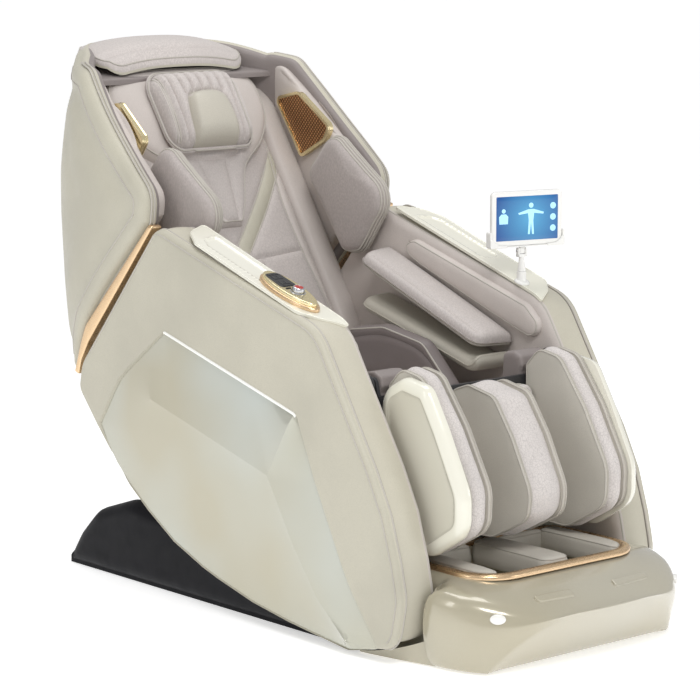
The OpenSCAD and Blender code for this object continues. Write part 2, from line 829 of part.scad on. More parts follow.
foot_shell();
foot_ring();
sole_roller(sole_y[0]);  // sole_roller_front
sole_roller(sole_y[1]);  // sole_roller_rear
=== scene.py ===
import math

import bpy
import bmesh
import numpy as np
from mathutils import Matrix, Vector
from mathutils.bvhtree import BVHTree
from mathutils.geometry import delaunay_2d_cdt


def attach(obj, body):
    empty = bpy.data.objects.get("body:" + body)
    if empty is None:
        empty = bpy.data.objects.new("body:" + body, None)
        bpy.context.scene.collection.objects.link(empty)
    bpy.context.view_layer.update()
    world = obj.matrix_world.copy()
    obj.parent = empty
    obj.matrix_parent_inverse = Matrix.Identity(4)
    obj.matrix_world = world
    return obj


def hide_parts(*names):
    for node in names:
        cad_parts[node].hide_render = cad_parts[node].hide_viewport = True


# A massage chair: padded cabin seat, winged back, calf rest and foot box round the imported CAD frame.
# Sizes are in millimetres in the outlines below; place functions turn them into metres.

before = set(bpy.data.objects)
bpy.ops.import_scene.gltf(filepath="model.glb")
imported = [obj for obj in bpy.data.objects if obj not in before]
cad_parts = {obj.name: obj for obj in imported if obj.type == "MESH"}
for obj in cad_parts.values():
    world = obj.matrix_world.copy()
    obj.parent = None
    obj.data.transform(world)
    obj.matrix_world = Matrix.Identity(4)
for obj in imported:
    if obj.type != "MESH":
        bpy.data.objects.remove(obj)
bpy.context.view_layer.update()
MM = 0.001

ARM_IN, ARM_OUT = 284, 392
BACK_LEAN = math.radians(33)
BACK_FOOT = (245, 500)
ARM_SLOPE = math.radians(18.26)
ARM_FRONT = (-300, 706)


# ---------------------------------------------------------------- outlines

def rounded(corners, turn=9):
    """A closed outline of (u, v, radius) corners as points: a corner is an arc, a point each turn degrees."""
    points = []
    count = len(corners)
    for i in range(count):
        a, b, c = (np.array(corners[(i + k) % count][:2], float) for k in (-1, 0, 1))
        radius = corners[i][2] if len(corners[i]) > 2 else 0
        if radius == 0:
            points.append(b)
            continue
        ua, uc = (a - b) / np.linalg.norm(a - b), (c - b) / np.linalg.norm(c - b)
        half = math.acos(float(np.clip(ua @ uc, -1, 1))) / 2
        middle = (ua + uc) / np.linalg.norm(ua + uc)
        centre = b + middle * radius / math.sin(half)
        start, end = b + ua * radius / math.tan(half) - centre, b + uc * radius / math.tan(half) - centre
        steps = max(2, round(math.degrees(math.pi - 2 * half) / turn))
        for k in range(steps + 1):
            way = (1 - k / steps) * start + k / steps * end
            points.append(centre + way / np.linalg.norm(way) * radius)
    return np.array(points)


def curve_through(points, closed=False, step=6):
    """A smooth line through a few points, as points about step apart."""
    p = np.array(points, float)
    n = len(p)
    out = []
    spans = n if closed else n - 1
    for i in range(spans):
        if closed:
            a, b, c, d = (p[(i + k) % n] for k in (-1, 0, 1, 2))
        else:
            a, b, c, d = p[max(i - 1, 0)], p[i], p[i + 1], p[min(i + 2, n - 1)]
        steps = max(2, int(np.linalg.norm(c - b) / step))
        for k in range(steps):
            t = k / steps
            out.append(0.5 * (2 * b + (c - a) * t + (2 * a - 5 * b + 4 * c - d) * t**2
                              + (3 * b - a - 3 * c + d) * t**3))
    if not closed:
        out.append(p[-1])
    return np.array(out)


def resample(line, step, closed=True):
    """The same line with no two neighbours further apart than step, and none on top of each other."""
    nxt = np.roll(line, -1, 0) if closed else line[1:]
    out = []
    for a, b in zip(line, nxt):
        gap = np.linalg.norm(b - a)
        if gap < 0.3:
            continue
        steps = max(1, math.ceil(gap / step))
        out += [a + (b - a) * k / steps for k in range(steps)]
    if not closed:
        out.append(line[-1])
    return np.array(out)


def anticlockwise(line):
    x, y = line[:, 0], line[:, 1]
    area = np.sum(x * np.roll(y, -1) - y * np.roll(x, -1))
    return line if area > 0 else line[::-1]


def distance(points, line, closed=True):
    """How far each point is from a line."""
    a = line if closed else line[:-1]
    b = np.roll(line, -1, 0) if closed else line[1:]
    ab = b - a
    length2 = np.maximum((ab**2).sum(1), 1e-9)
    out = np.empty(len(points))
    for i in range(0, len(points), 1500):
        ap = points[i:i + 1500, None, :] - a[None]
        t = np.clip((ap * ab).sum(2) / length2, 0, 1)
        out[i:i + 1500] = np.sqrt(((ap - t[..., None] * ab) ** 2).sum(2).min(1))
    return out


def inside(points, line):
    """Which points are inside a closed line."""
    x, y = points[:, 0][:, None], points[:, 1][:, None]
    x0, y0 = line[:, 0], line[:, 1]
    x1, y1 = np.roll(x0, -1), np.roll(y0, -1)
    cross = (y0 > y) != (y1 > y)
    with np.errstate(divide="ignore", invalid="ignore"):
        at = x0 + (y - y0) * (x1 - x0) / (y1 - y0)
    return (cross & (x < at)).sum(1) % 2 == 1


def normals(line):
    """The outward normal at each point of a closed anticlockwise line."""
    way = np.roll(line, -1, 0) - np.roll(line, 1, 0)
    way /= np.maximum(np.linalg.norm(way, axis=1, keepdims=True), 1e-9)
    return np.stack([way[:, 1], -way[:, 0]], 1)


def shrink(line, amount):
    """A closed line moved inwards; points that would cross over are dropped."""
    line = anticlockwise(line)
    moved = line - normals(line) * amount
    keep = distance(moved, line) > abs(amount) * 0.96
    return moved[keep]


# ---------------------------------------------------------------- meshes

def fill(outline, spacing, rings, lines):
    """Triangles inside an outline, fine near its edge and near the given lines."""
    n = len(outline)
    out_n = normals(outline)
    loose = []
    for d in rings:
        ring = outline - out_n * d
        keep = (distance(ring, outline) > d * 0.93) & inside(ring, outline)
        loose.append(ring[keep])
    edge = max(rings) if rings else 0
    low, high = outline.min(0), outline.max(0)
    rows = np.arange(low[1], high[1], spacing * 0.866)
    grid = [(x + (spacing / 2 if i % 2 else 0), y) for i, y in enumerate(rows)
            for x in np.arange(low[0], high[0], spacing)]
    grid = np.array(grid) + 0.137
    grid = grid[inside(grid, outline)]
    grid = grid[distance(grid, outline) > edge + spacing * 0.45]
    edges = [(i, (i + 1) % n) for i in range(n)]
    points = [outline]
    count = n
    for line, width in lines:
        keep = distance(line, outline) > 0.8
        line = line[keep]
        if len(line) < 2:
            continue
        grid = grid[distance(grid, line, False) > width * 1.4]
        loose = [ring[distance(ring, line, False) > 0.8] if len(ring) else ring for ring in loose]
        way = np.gradient(line, axis=0)
        way /= np.maximum(np.linalg.norm(way, axis=1, keepdims=True), 1e-9)
        side = np.stack([-way[:, 1], way[:, 0]], 1)
        for s in (-1, 1):
            off = line + side * s * width
            off = off[inside(off, outline)]
            if len(off):
                loose.append(off[distance(off, outline) > 1.2])
        points.append(line)
        edges += [(count + i, count + i + 1) for i in range(len(line) - 1)]
        count += len(line)
    extra = np.vstack([p for p in loose + [grid] if len(p)])
    points.append(extra)
    points = np.vstack(points)
    verts, _, faces, ids, _, _ = delaunay_2d_cdt([Vector(p) for p in points], edges, [], 1, 1e-4)
    where = {}
    for new, old in enumerate(ids):
        for o in old:
            where.setdefault(o, new)
    rim = [where[i] for i in range(n)]
    return np.array([(v.x, v.y) for v in verts]), np.array([f for f in faces if len(f) == 3]), rim


def membrane(verts, tris, held):
    """The height of a sheet blown up over the triangles and held down at some points, from 0 to 1."""
    n = len(verts)
    p = verts[tris]
    rows, cols, weights = [], [], []
    area = np.zeros(n)
    for k in range(3):
        a, b, c = p[:, k], p[:, (k + 1) % 3], p[:, (k + 2) % 3]
        u, v = b - a, c - a
        cross = np.abs(u[:, 0] * v[:, 1] - u[:, 1] * v[:, 0]) + 1e-9
        cot = np.clip((u * v).sum(1) / cross, 0.02, 20) / 2
        i, j = tris[:, (k + 1) % 3], tris[:, (k + 2) % 3]
        rows += [i, j]
        cols += [j, i]
        weights += [cot, cot]
        area += np.bincount(tris[:, k], cross / 6, n)
    rows, cols, weights = np.concatenate(rows), np.concatenate(cols), np.concatenate(weights)
    diagonal = np.bincount(rows, weights, n) + 1e-9
    free = np.ones(n)
    free[held] = 0

    def apply(x):
        return (diagonal * x - np.bincount(rows, weights * x[cols], n)) * free

    b = area * free
    x = np.zeros(n)
    r = b.copy()
    z = r / diagonal
    q = z.copy()
    rz = r @ z
    for _ in range(400):
        aq = apply(q)
        step = rz / max(q @ aq, 1e-30)
        x += step * q
        r -= step * aq
        if np.abs(r).max() < 1e-5 * np.abs(b).max():
            break
        z = r / diagonal
        new = r @ z
        q = z + new / rz * q
        rz = new
    return np.clip(x / max(x.max(), 1e-9), 0, 1)


def to_object(name, verts, faces, materials, indices=None, sharp=40):
    """A mesh object with outward normals. Verts are in metres."""
    mesh = bpy.data.meshes.new(name)
    mesh.from_pydata([tuple(v) for v in verts], [], [tuple(int(i) for i in f) for f in faces])
    for m in materials:
        mesh.materials.append(m)
    if indices is not None:
        mesh.polygons.foreach_set("material_index", np.array(indices, np.int32))
    bm = bmesh.new()
    bm.from_mesh(mesh)
    bmesh.ops.recalc_face_normals(bm, faces=bm.faces)
    bm.to_mesh(mesh)
    bm.free()
    mesh.shade_smooth()
    mesh.set_sharp_from_angle(angle=math.radians(sharp))
    obj = bpy.data.objects.new(name, mesh)
    bpy.context.scene.collection.objects.link(obj)
    return obj


def panel(name, outline, place, front, back, rim=12, back_rim=0, relief=None, puff=0, back_puff=0, power=0.5,
          seams=(), seam_depth=3, seam_width=4, folds=(), spacing=9, crown=0, rows=3, step=6, materials=(),
          slot_of=None, sharp=40):
    """A closed slab: its face follows an outline in (u, v) at height front, its other face is at back.
    rim rounds the edge of the face, puff blows it up, relief(points, distance) adds height, seams pull it in
    and folds are lines that its triangles follow. crown bows the sides out."""
    line = resample(anticlockwise(np.array(outline, float)), step)
    rings = [rim * (1 - math.cos(math.radians(a))) for a in (20, 40, 62, 90)] if rim else [2.5]
    seams = [resample(np.array(s, float), spacing * 0.7, False) for s in seams]
    folds = [resample(np.array(s, float), spacing * 0.7, False) for s in folds]
    verts, tris, edge = fill(line, spacing, rings, [(s, seam_width) for s in seams] + [(s, 3) for s in folds])
    away = distance(verts, line)
    away[edge] = 0

    def round_off(radius):
        if not radius:
            return np.zeros(len(verts))
        return radius * np.sqrt(np.clip(1 - (1 - np.minimum(away / radius, 1)) ** 2, 0, 1)) - radius

    top = front + round_off(rim)
    low = back - round_off(back_rim)
    near = np.full(len(verts), 1e9)
    for s in seams:
        near = np.minimum(near, distance(verts, s, False))
    if puff or back_puff:
        dome = membrane(verts, tris, edge) ** power
        if seams and puff:
            pinned = sorted(set(edge) | set(np.where(near < 0.6)[0]))
            dome = 0.55 * dome + 0.45 * membrane(verts, tris, pinned) ** power
        top = top + puff * dome
        low = low - back_puff * dome
    if relief is not None:
        top = top + relief(verts, away)
    if seams:
        top = top - seam_depth * np.exp(-((near / seam_width) ** 2))
    n = len(verts)
    m = len(edge)
    points = [np.column_stack([verts, top]), np.column_stack([verts, low])]
    out_n = normals(line)
    for k in range(1, rows):
        t = k / rows
        ring = verts[edge] + out_n * crown * 4 * t * (1 - t)
        points.append(np.column_stack([ring, (1 - t) * top[edge] + t * low[edge]]))
    local = np.vstack(points)
    between = [[2 * n + (k - 1) * m + i for i in range(m)] for k in range(1, rows)]
    loops = [edge] + between + [[n + i for i in edge]]
    faces = [tuple(t) for t in tris] + [tuple(n + i for i in t[::-1]) for t in tris]
    kinds = [0] * len(tris) + [2] * len(tris)
    for a, b in zip(loops, loops[1:]):
        for i in range(m):
            j = (i + 1) % m
            faces.append((a[i], b[i], b[j], a[j]))
            kinds.append(1)
    if slot_of is None:
        indices = [min(k, len(materials) - 1) for k in kinds]
    else:
        centres = np.array([local[list(f)].mean(0) for f in faces])
        indices = slot_of(centres, np.array(kinds))
    return to_object(name, place(local[:, 0], local[:, 1], local[:, 2]), faces, materials, indices, sharp)


def tube_mesh(path, radius, closed=False, sides=8, flat=1.0):
    """Verts and faces of a round strip along a path in metres, with closed ends."""
    p = np.array(path, float)
    way = np.gradient(p, axis=0) if not closed else np.roll(p, -1, 0) - np.roll(p, 1, 0)
    way /= np.maximum(np.linalg.norm(way, axis=1, keepdims=True), 1e-12)
    up = np.array([0.0, 0.0, 1.0]) if abs(way[0][2]) < 0.9 else np.array([1.0, 0.0, 0.0])
    verts, n = [], len(p)
    for i in range(n):
        side = np.cross(way[i], up)
        side /= np.linalg.norm(side)
        up = np.cross(side, way[i])
        for k in range(sides):
            a = 2 * math.pi * k / sides
            verts.append(p[i] + radius * (math.cos(a) * side + flat * math.sin(a) * up))
    faces = []
    for i in range(n if closed else n - 1):
        for k in range(sides):
            a, b = i * sides + k, i * sides + (k + 1) % sides
            c, d = (i + 1) % n * sides + k, (i + 1) % n * sides + (k + 1) % sides
            faces.append((a, b, d, c))
    if not closed:
        faces.append(tuple(range(sides))[::-1])
        faces.append(tuple((n - 1) * sides + k for k in range(sides)))
    return verts, faces


def tubes(name, paths, radius, material, closed=False, sides=8):
    """One object of round strips along several paths, in metres."""
    verts, faces = [], []
    for path in paths:
        v, f = tube_mesh(path, radius * MM, closed, sides)
        faces += [tuple(i + len(verts) for i in face) for face in f]
        verts += v
    return to_object(name, verts, faces, [material], sharp=60)


def on_surface(obj, starts, ways, lift=0.0):
    """Where rays from starts along ways meet an object's mesh, moved back by lift."""
    tree = BVHTree.FromPolygons([v.co for v in obj.data.vertices],
                                [list(p.vertices) for p in obj.data.polygons])
    out = []
    for s, w in zip(starts, ways):
        w = Vector(w).normalized()
        hit = tree.ray_cast(Vector(s), w)[0]
        if hit is not None:
            out.append(np.array(hit - w * lift))
    return np.array(out)


def at_height(place, line, w):
    """A (u, v) line at one height, as points in metres."""
    return place(line[:, 0], line[:, 1], np.full(len(line), float(w)))


def looped(line):
    """A closed line with its first point again at its end, for a fold."""
    return np.vstack([line, line[:1]])


def drop(obj, place, line, high, lift=0.0):
    """A (u, v) line dropped on an object's face from height high, as points in metres."""
    line = np.array(line, float)
    tops = at_height(place, line, high)
    lows = at_height(place, line, high - 60)
    return on_surface(obj, tops, lows - tops, lift)


def join(name, *objs):
    """Joins objects into the first one's place, under a new name."""
    bpy.ops.object.select_all(action="DESELECT")
    for o in objs:
        o.select_set(True)
    bpy.context.view_layer.objects.active = objs[0]
    bpy.ops.object.join()
    objs[0].name = name
    objs[0].data.name = name
    return objs[0]


def inflate(obj, cap, pressure=4.0, voxel=0.006, frames=20):
    """Blows a closed pad up as cloth: the result replaces its mesh, and no point moves over cap mm."""
    scene = bpy.context.scene
    bpy.ops.object.select_all(action="DESELECT")
    obj.select_set(True)
    bpy.context.view_layer.objects.active = obj
    remesh = obj.modifiers.new("remesh", "REMESH")
    remesh.mode = "VOXEL"
    remesh.voxel_size = voxel
    remesh.use_smooth_shade = True
    bpy.ops.object.modifier_apply(modifier="remesh")
    rest = np.array([v.co for v in obj.data.vertices], float)
    cloth = obj.modifiers.new("cloth", "CLOTH")
    cloth.settings.use_pressure = True
    cloth.settings.uniform_pressure_force = pressure
    cloth.settings.effector_weights.gravity = 0
    cloth.settings.quality = 5
    for f in range(1, frames + 1):
        scene.frame_set(f)
    shaped = obj.evaluated_get(bpy.context.evaluated_depsgraph_get()).to_mesh()
    moved = np.array([v.co for v in shaped.vertices], float) - rest
    obj.modifiers.remove(cloth)
    size = np.linalg.norm(moved, axis=1, keepdims=True)
    limit = cap * MM
    moved *= limit * np.tanh(size / limit) / np.maximum(size, 1e-9)
    obj.data.vertices.foreach_set("co", (rest + moved).ravel())
    obj.data.update()
    scene.frame_set(1)
    subdivide = obj.modifiers.new("subdivide", "SUBSURF")
    subdivide.levels = 1
    bpy.ops.object.modifier_apply(modifier="subdivide")
    obj.data.shade_smooth()
    return obj


# ---------------------------------------------------------------- places

def side_of(sign):
    """u is y, v is z and w is the distance from the middle plane, on one side of the chair."""
    def place(u, v, w):
        return np.column_stack([sign * w, u, v]) * MM
    return place


def inwards_of(sign):
    """As side_of, with w the other way round, so that a slab's face looks towards the sitter."""
    def place(u, v, w):
        return np.column_stack([sign * -w, u, v]) * MM
    return place


def upright(u, v, w):
    """u is x, v is y and w is the height."""
    return np.column_stack([u, v, w]) * MM


def wing_taper(v):
    """How far the wings draw in at a height, as a factor on their distance from the middle plane."""
    lift = np.clip((v - 930) / 330, 0, 1)
    return 1 - 0.085 * lift * lift * (3 - 2 * lift)


def on_wing(sign):
    """The inner wall of one wing: u is y, v is z and w grows towards the sitter."""
    def place(u, v, w):
        return np.column_stack([sign * -w * wing_taper(v), u, v]) * MM
    return place


def on_back(u, v, w):
    """u is x, v runs up the back cushion and w stands out of it, towards the sitter."""
    c, s = math.cos(BACK_LEAN), math.sin(BACK_LEAN)
    return np.column_stack([u, BACK_FOOT[0] + v * s - w * c, BACK_FOOT[1] + v * c + w * s]) * MM


def on_arm(u, v, w):
    """u is x, v runs up the armrest's top and w stands out of it."""
    c, s = math.cos(ARM_SLOPE), math.sin(ARM_SLOPE)
    return np.column_stack([u, ARM_FRONT[0] + v * c - w * s, ARM_FRONT[1] + v * s + w * c]) * MM


# ---------------------------------------------------------------- materials

class Shade:
    """A material under construction: its shader, and short ways to add nodes."""

    def __init__(self, name, colour, roughness, **sockets):
        self.material = bpy.data.materials.new(name)
        self.material.use_nodes = True
        self.tree = self.material.node_tree
        self.shader = self.tree.nodes["Principled BSDF"]
        self.shader.inputs["Base Color"].default_value = (*colour, 1)
        self.shader.inputs["Roughness"].default_value = roughness
        for key, value in sockets.items():
            self.shader.inputs[key.replace("_", " ")].default_value = value
        self.where = self.node("ShaderNodeTexCoord").outputs["Object"]
        self.height = None

    def node(self, kind, **settings):
        n = self.tree.nodes.new(kind)
        for key, value in settings.items():
            setattr(n, key, value)
        return n

    def link(self, a, b):
        self.tree.links.new(a, b)

    def stretched(self, scale):
        m = self.node("ShaderNodeMapping")
        m.inputs["Scale"].default_value = scale
        self.link(self.where, m.inputs["Vector"])
        return m.outputs["Vector"]

    def noise(self, scale, detail=3, roughness=0.5, where=None):
        n = self.node("ShaderNodeTexNoise")
        n.inputs["Scale"].default_value = scale
        n.inputs["Detail"].default_value = detail
        n.inputs["Roughness"].default_value = roughness
        self.link(where or self.where, n.inputs["Vector"])
        return n.outputs["Fac"]

    def cells(self, scale, feature="F1", where=None, randomness=1.0):
        n = self.node("ShaderNodeTexVoronoi", feature=feature)
        n.inputs["Scale"].default_value = scale
        n.inputs["Randomness"].default_value = randomness
        self.link(where or self.where, n.inputs["Vector"])
        return n.outputs["Distance"]

    def ramp(self, value, low, high, to_low=0.0, to_high=1.0):
        n = self.node("ShaderNodeMapRange")
        for key, v in zip(("From Min", "From Max", "To Min", "To Max"), (low, high, to_low, to_high)):
            n.inputs[key].default_value = v
        self.link(value, n.inputs["Value"])
        return n.outputs["Result"]

    def mix(self, amount, a, b):
        n = self.node("ShaderNodeMix", data_type="RGBA")
        self.link(amount, n.inputs["Factor"])
        for socket, colour in ((n.inputs[6], a), (n.inputs[7], b)):
            if isinstance(colour, tuple):
                socket.default_value = (*colour, 1)
            else:
                self.link(colour, socket)
        return n.outputs[2]

    def colour(self, source):
        self.link(source, self.shader.inputs["Base Color"])

    def rough(self, value, low, high, to_low, to_high):
        self.link(self.ramp(value, low, high, to_low, to_high), self.shader.inputs["Roughness"])

    def bump(self, value, depth_mm, strength=1.0):
        n = self.node("ShaderNodeBump")
        n.inputs["Strength"].default_value = strength
        n.inputs["Distance"].default_value = depth_mm * MM
        self.link(value, n.inputs["Height"])
        if self.height is not None:
            self.link(self.height, n.inputs["Normal"])
        self.height = n.outputs["Normal"]
        self.link(self.height, self.shader.inputs["Normal"])


def tint(colour, factor):
    return tuple(min(1.0, c * factor) for c in colour)


def leather(name, colour, roughness=0.42, grain=1.0, contrast=0.07):
    s = Shade(name, colour, roughness, Sheen_Weight=0.08, Sheen_Roughness=0.5, Specular_IOR_Level=0.42)
    patch = s.noise(4.0, 4)
    pores = s.cells(620 * grain)
    base = s.mix(s.ramp(patch, 0.35, 0.65), tint(colour, 1 - contrast), tint(colour, 1 + contrast))
    s.colour(s.mix(s.ramp(pores, 0.05, 0.5), tint(colour, 0.86), base))
    s.rough(s.noise(60, 3), 0.3, 0.7, roughness - 0.05, roughness + 0.07)
    s.bump(s.noise(26, 4, 0.55), 0.9, 0.35)
    s.bump(s.ramp(pores, 0.0, 0.6), 0.22, 0.5)
    return s.material


def crackle(name, colour):
    """Padded jacquard with a fine network of creases."""
    s = Shade(name, colour, 0.62, Sheen_Weight=0.25, Sheen_Roughness=0.4)
    warp = s.node("ShaderNodeVectorMath", operation="ADD")
    wobble = s.node("ShaderNodeTexNoise")
    wobble.inputs["Scale"].default_value = 55
    s.link(s.where, wobble.inputs["Vector"])
    shift = s.node("ShaderNodeVectorMath", operation="SCALE")
    shift.inputs["Scale"].default_value = 0.012
    s.link(wobble.outputs["Color"], shift.inputs[0])
    s.link(s.where, warp.inputs[0])
    s.link(shift.outputs[0], warp.inputs[1])
    big = s.cells(150, "DISTANCE_TO_EDGE", warp.outputs[0])
    small = s.cells(380, "DISTANCE_TO_EDGE", warp.outputs[0])
    lines = s.ramp(big, 0.0, 0.10)
    tone = s.mix(s.ramp(s.noise(14, 3), 0.35, 0.65), tint(colour, 0.95), tint(colour, 1.05))
    s.colour(s.mix(lines, tint(colour, 0.8), tone))
    s.bump(s.ramp(big, 0.0, 0.22), 0.6, 0.5)
    s.bump(s.ramp(small, 0.0, 0.2), 0.3, 0.4)
    s.bump(s.noise(900, 2), 0.08, 0.4)
    return s.material


def crinkled(name, colour, scale=300):
    """Soft woven cover with a short random grain, as on the back and shoulder pads."""
    s = Shade(name, colour, 0.6, Sheen_Weight=0.2, Sheen_Roughness=0.45)
    grain = s.noise(scale, 4, 0.6, s.stretched((1, 1, 0.55)))
    tone = s.mix(s.ramp(s.noise(5, 3), 0.35, 0.65), tint(colour, 0.96), tint(colour, 1.05))
    s.colour(s.mix(s.ramp(grain, 0.40, 0.62), tint(colour, 0.86), tone))
    s.bump(grain, 0.7, 0.5)
    s.bump(s.cells(1400), 0.08, 0.4)
    return s.material


def gloss(name, colour, second, roughness=0.22, metallic=0.0, coat=1.0, flake=0.0):
    """Moulded shell with a pearl lacquer."""
    s = Shade(name, colour, roughness, Metallic=metallic, Coat_Weight=coat, Coat_Roughness=0.05, Coat_IOR=1.5)
    s.colour(s.mix(s.ramp(s.noise(2.2, 2), 0.35, 0.65), colour, second))
    s.rough(s.noise(1800, 1), 0.3, 0.7, roughness - 0.03 - flake, roughness + 0.05)
    s.bump(s.noise(9, 2), 0.25, 0.12)
    if flake:
        s.bump(s.noise(2600, 1), 0.02, flake)
    return s.material


def plastic(name, colour, roughness=0.35, grain=0.25, scale=900, level=0.45):
    s = Shade(name, colour, roughness, Specular_IOR_Level=level)
    s.colour(s.mix(s.ramp(s.noise(6, 3), 0.35, 0.65), tint(colour, 0.93), tint(colour, 1.06)))
    s.rough(s.noise(30, 3), 0.3, 0.7, roughness - 0.05, roughness + 0.08)
    s.bump(s.cells(scale), 0.06, grain)
    return s.material


def metal(name, colour, roughness=0.28, brush=(1, 1, 40), strength=0.25):
    s = Shade(name, colour, roughness, Metallic=1.0)
    lines = s.noise(90, 3, 0.6, s.stretched(brush))
    s.colour(s.mix(s.ramp(lines, 0.3, 0.7), tint(colour, 0.9), tint(colour, 1.08)))
    s.rough(lines, 0.3, 0.7, roughness - 0.05, roughness + 0.09)
    s.bump(lines, 0.05, strength)
    return s.material


def woven(name, colour):
    """Fine diagonal metal weave."""
    s = Shade(name, colour, 0.35, Metallic=1.0)
    waves = []
    for turn in (45, -45):
        m = s.node("ShaderNodeMapping")
        m.inputs["Rotation"].default_value = (math.radians(turn), 0, 0)
        s.link(s.where, m.inputs["Vector"])
        w = s.node("ShaderNodeTexWave", bands_direction="Z")
        w.inputs["Scale"].default_value = 42
        w.inputs["Distortion"].default_value = 0.6
        s.link(m.outputs["Vector"], w.inputs["Vector"])
        waves.append(w.outputs["Fac"])
    both_ways = s.node("ShaderNodeMath", operation="MULTIPLY")
    s.link(waves[0], both_ways.inputs[0])
    s.link(waves[1], both_ways.inputs[1])
    cell = both_ways.outputs[0]
    s.colour(s.mix(s.ramp(cell, 0.1, 0.6), tint(colour, 0.45), tint(colour, 1.5)))
    s.bump(cell, 0.9, 0.8)
    return s.material


def paint(name, colour, roughness=0.45):
    s = Shade(name, colour, roughness)
    s.colour(s.mix(s.ramp(s.noise(18, 4), 0.4, 0.7), colour, tint(colour, 1.3)))
    s.rough(s.noise(40, 3), 0.3, 0.7, roughness - 0.08, roughness + 0.1)
    s.bump(s.noise(700, 2), 0.08, 0.35)
    return s.material


CREAM = leather("cream_leather", (0.515, 0.49, 0.40))
# Lighter copy of the cream leather for the panels' side walls: painted highlight along the edges.
CREAM_EDGE_LIT = leather("cream_leather_edge_painted_highlight", (0.56, 0.53, 0.435), grain=1.1)
MAUVE = leather("mauve_leather", (0.60, 0.545, 0.51), 0.45)
# Darker copy of the mauve leather: painted shade for the shell's inner face, the lining under the head flap,
# the motor covers and hidden faces.
MAUVE_SHADED = leather("mauve_leather_painted_shade", (0.27, 0.235, 0.225), 0.45)
# Very dark copy of the mauve leather: painted shade on the hip pads, which sit in shadow between the arms.
HIP_SHADED = leather("hip_leather_painted_shade", (0.20, 0.17, 0.165), 0.42)
CALF = leather("calf_leather", (0.58, 0.55, 0.49), 0.45)
BEIGE = leather("beige_leather", (0.52, 0.49, 0.42), 0.45)
PIPING = leather("piping", (0.50, 0.47, 0.42), 0.5, 1.6)
CRACKLE = crackle("crackle_cloth", (0.66, 0.615, 0.59))
CRINKLE = crinkled("crinkled_cloth", (0.58, 0.53, 0.505))
# Darker copy of the crinkled cloth: painted shade on the shoulder pads' inward faces and gussets.
CRINKLE_SHADED = crinkled("crinkled_cloth_painted_shade", (0.46, 0.41, 0.39))
PEARL = gloss("pearl_shell", (0.45, 0.42, 0.31), (0.50, 0.53, 0.49), 0.2, 0.35, flake=0.06)
CHAMPAGNE = gloss("champagne_shell", (0.45, 0.41, 0.30), (0.49, 0.46, 0.37), 0.24, 0.15, flake=0.04)
# Darker copy of the cream gloss for the calf covers' faces, so the bright cream bevel round them is a painted
# highlight band.
COVER_FACE_DIMMED = gloss("cover_face_dimmed_for_bevel_highlight", (0.60, 0.575, 0.47), (0.66, 0.64, 0.55), 0.22)
GLOSS_CREAM = gloss("cream_gloss", (0.80, 0.785, 0.66), (0.84, 0.82, 0.72), 0.2)
WHITE_GLOSS = gloss("white_gloss", (0.86, 0.855, 0.82), (0.88, 0.87, 0.85), 0.22)
GOLD = metal("brushed_gold", (0.80, 0.58, 0.36), 0.26)
PALE_GOLD = metal("pale_gold", (0.86, 0.74, 0.45), 0.2, (1, 40, 1))
COPPER = woven("copper_weave", (0.50, 0.27, 0.13))
# Near-white gloss for the strip on the side shells' top edge: a painted highlight.
SHELL_HIGHLIGHT = gloss("shell_highlight_line", (0.95, 0.95, 0.9), (0.97, 0.97, 0.94), 0.15)
BASE_BLACK = plastic("base_black", (0.006, 0.006, 0.008), 0.42, 0.1, level=0.12)
BLACK = plastic("black_plastic", (0.02, 0.02, 0.022), 0.3, 0.2)
RUBBER = plastic("black_rubber", (0.025, 0.025, 0.025), 0.7, 0.6, 500)
FRAME_PAINT = paint("frame_paint", (0.035, 0.035, 0.038))
MOTOR_PAINT = paint("motor_paint", (0.09, 0.095, 0.105))
STEEL = metal("ground_steel", (0.62, 0.63, 0.65), 0.24)
ROLLER = plastic("roller_nylon", (0.66, 0.61, 0.5), 0.4, 0.2)
RED = plastic("red_plastic", (0.45, 0.03, 0.02), 0.25, 0.1)


def finish_piece(obj, body, slot, *nodes, pad=None):
    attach(obj, body)
    if nodes:
        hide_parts(*nodes)
    return obj


SIDES = (("right", -1), ("left", 1))


def both(line):
    """A line and its mirror image across u = 0."""
    line = np.array(line, float)
    return [line, line * (-1, 1)]


def piped(obj, place, lines, high, radius=2.2, material=None, closed=False):
    """Piping laid on a pad along lines in (u, v), joined into it."""
    strips = [drop(obj, place, resample(np.array(l, float), 6, closed), high, 0.3 * MM) for l in lines]
    strips = [s for s in strips if len(s) > 3]
    cord = tubes(obj.name + "_piping", strips, radius, material or PIPING, closed)
    return join(obj.name, obj, cord)


# ---------------------------------------------------------------- armrests

BELLY = [(-440, 12, 60), (-112, 50, 1500), (180, 135, 700), (400, 290, 400)]
ARM = [(232, 868, 45), (-333, 696, 110), (-566, 330, 600), (-608, 150, 90), (-585, 40, 60)]
ARM_REAR = [(474, 372, 30), (545, 452, 35), (532, 515, 70)]
HEX_TOP = [(200, 632, 12), (-270, 506, 25), (-330, 370, 300), (-440, 160, 500), (-540, 34, 12)]
HEX_REAR = [(462, 378, 8), (380, 500, 200)]
CREASE = [(243, 468), (-179, 356), (-268, 215), (-342, 118), (-442, 34)]


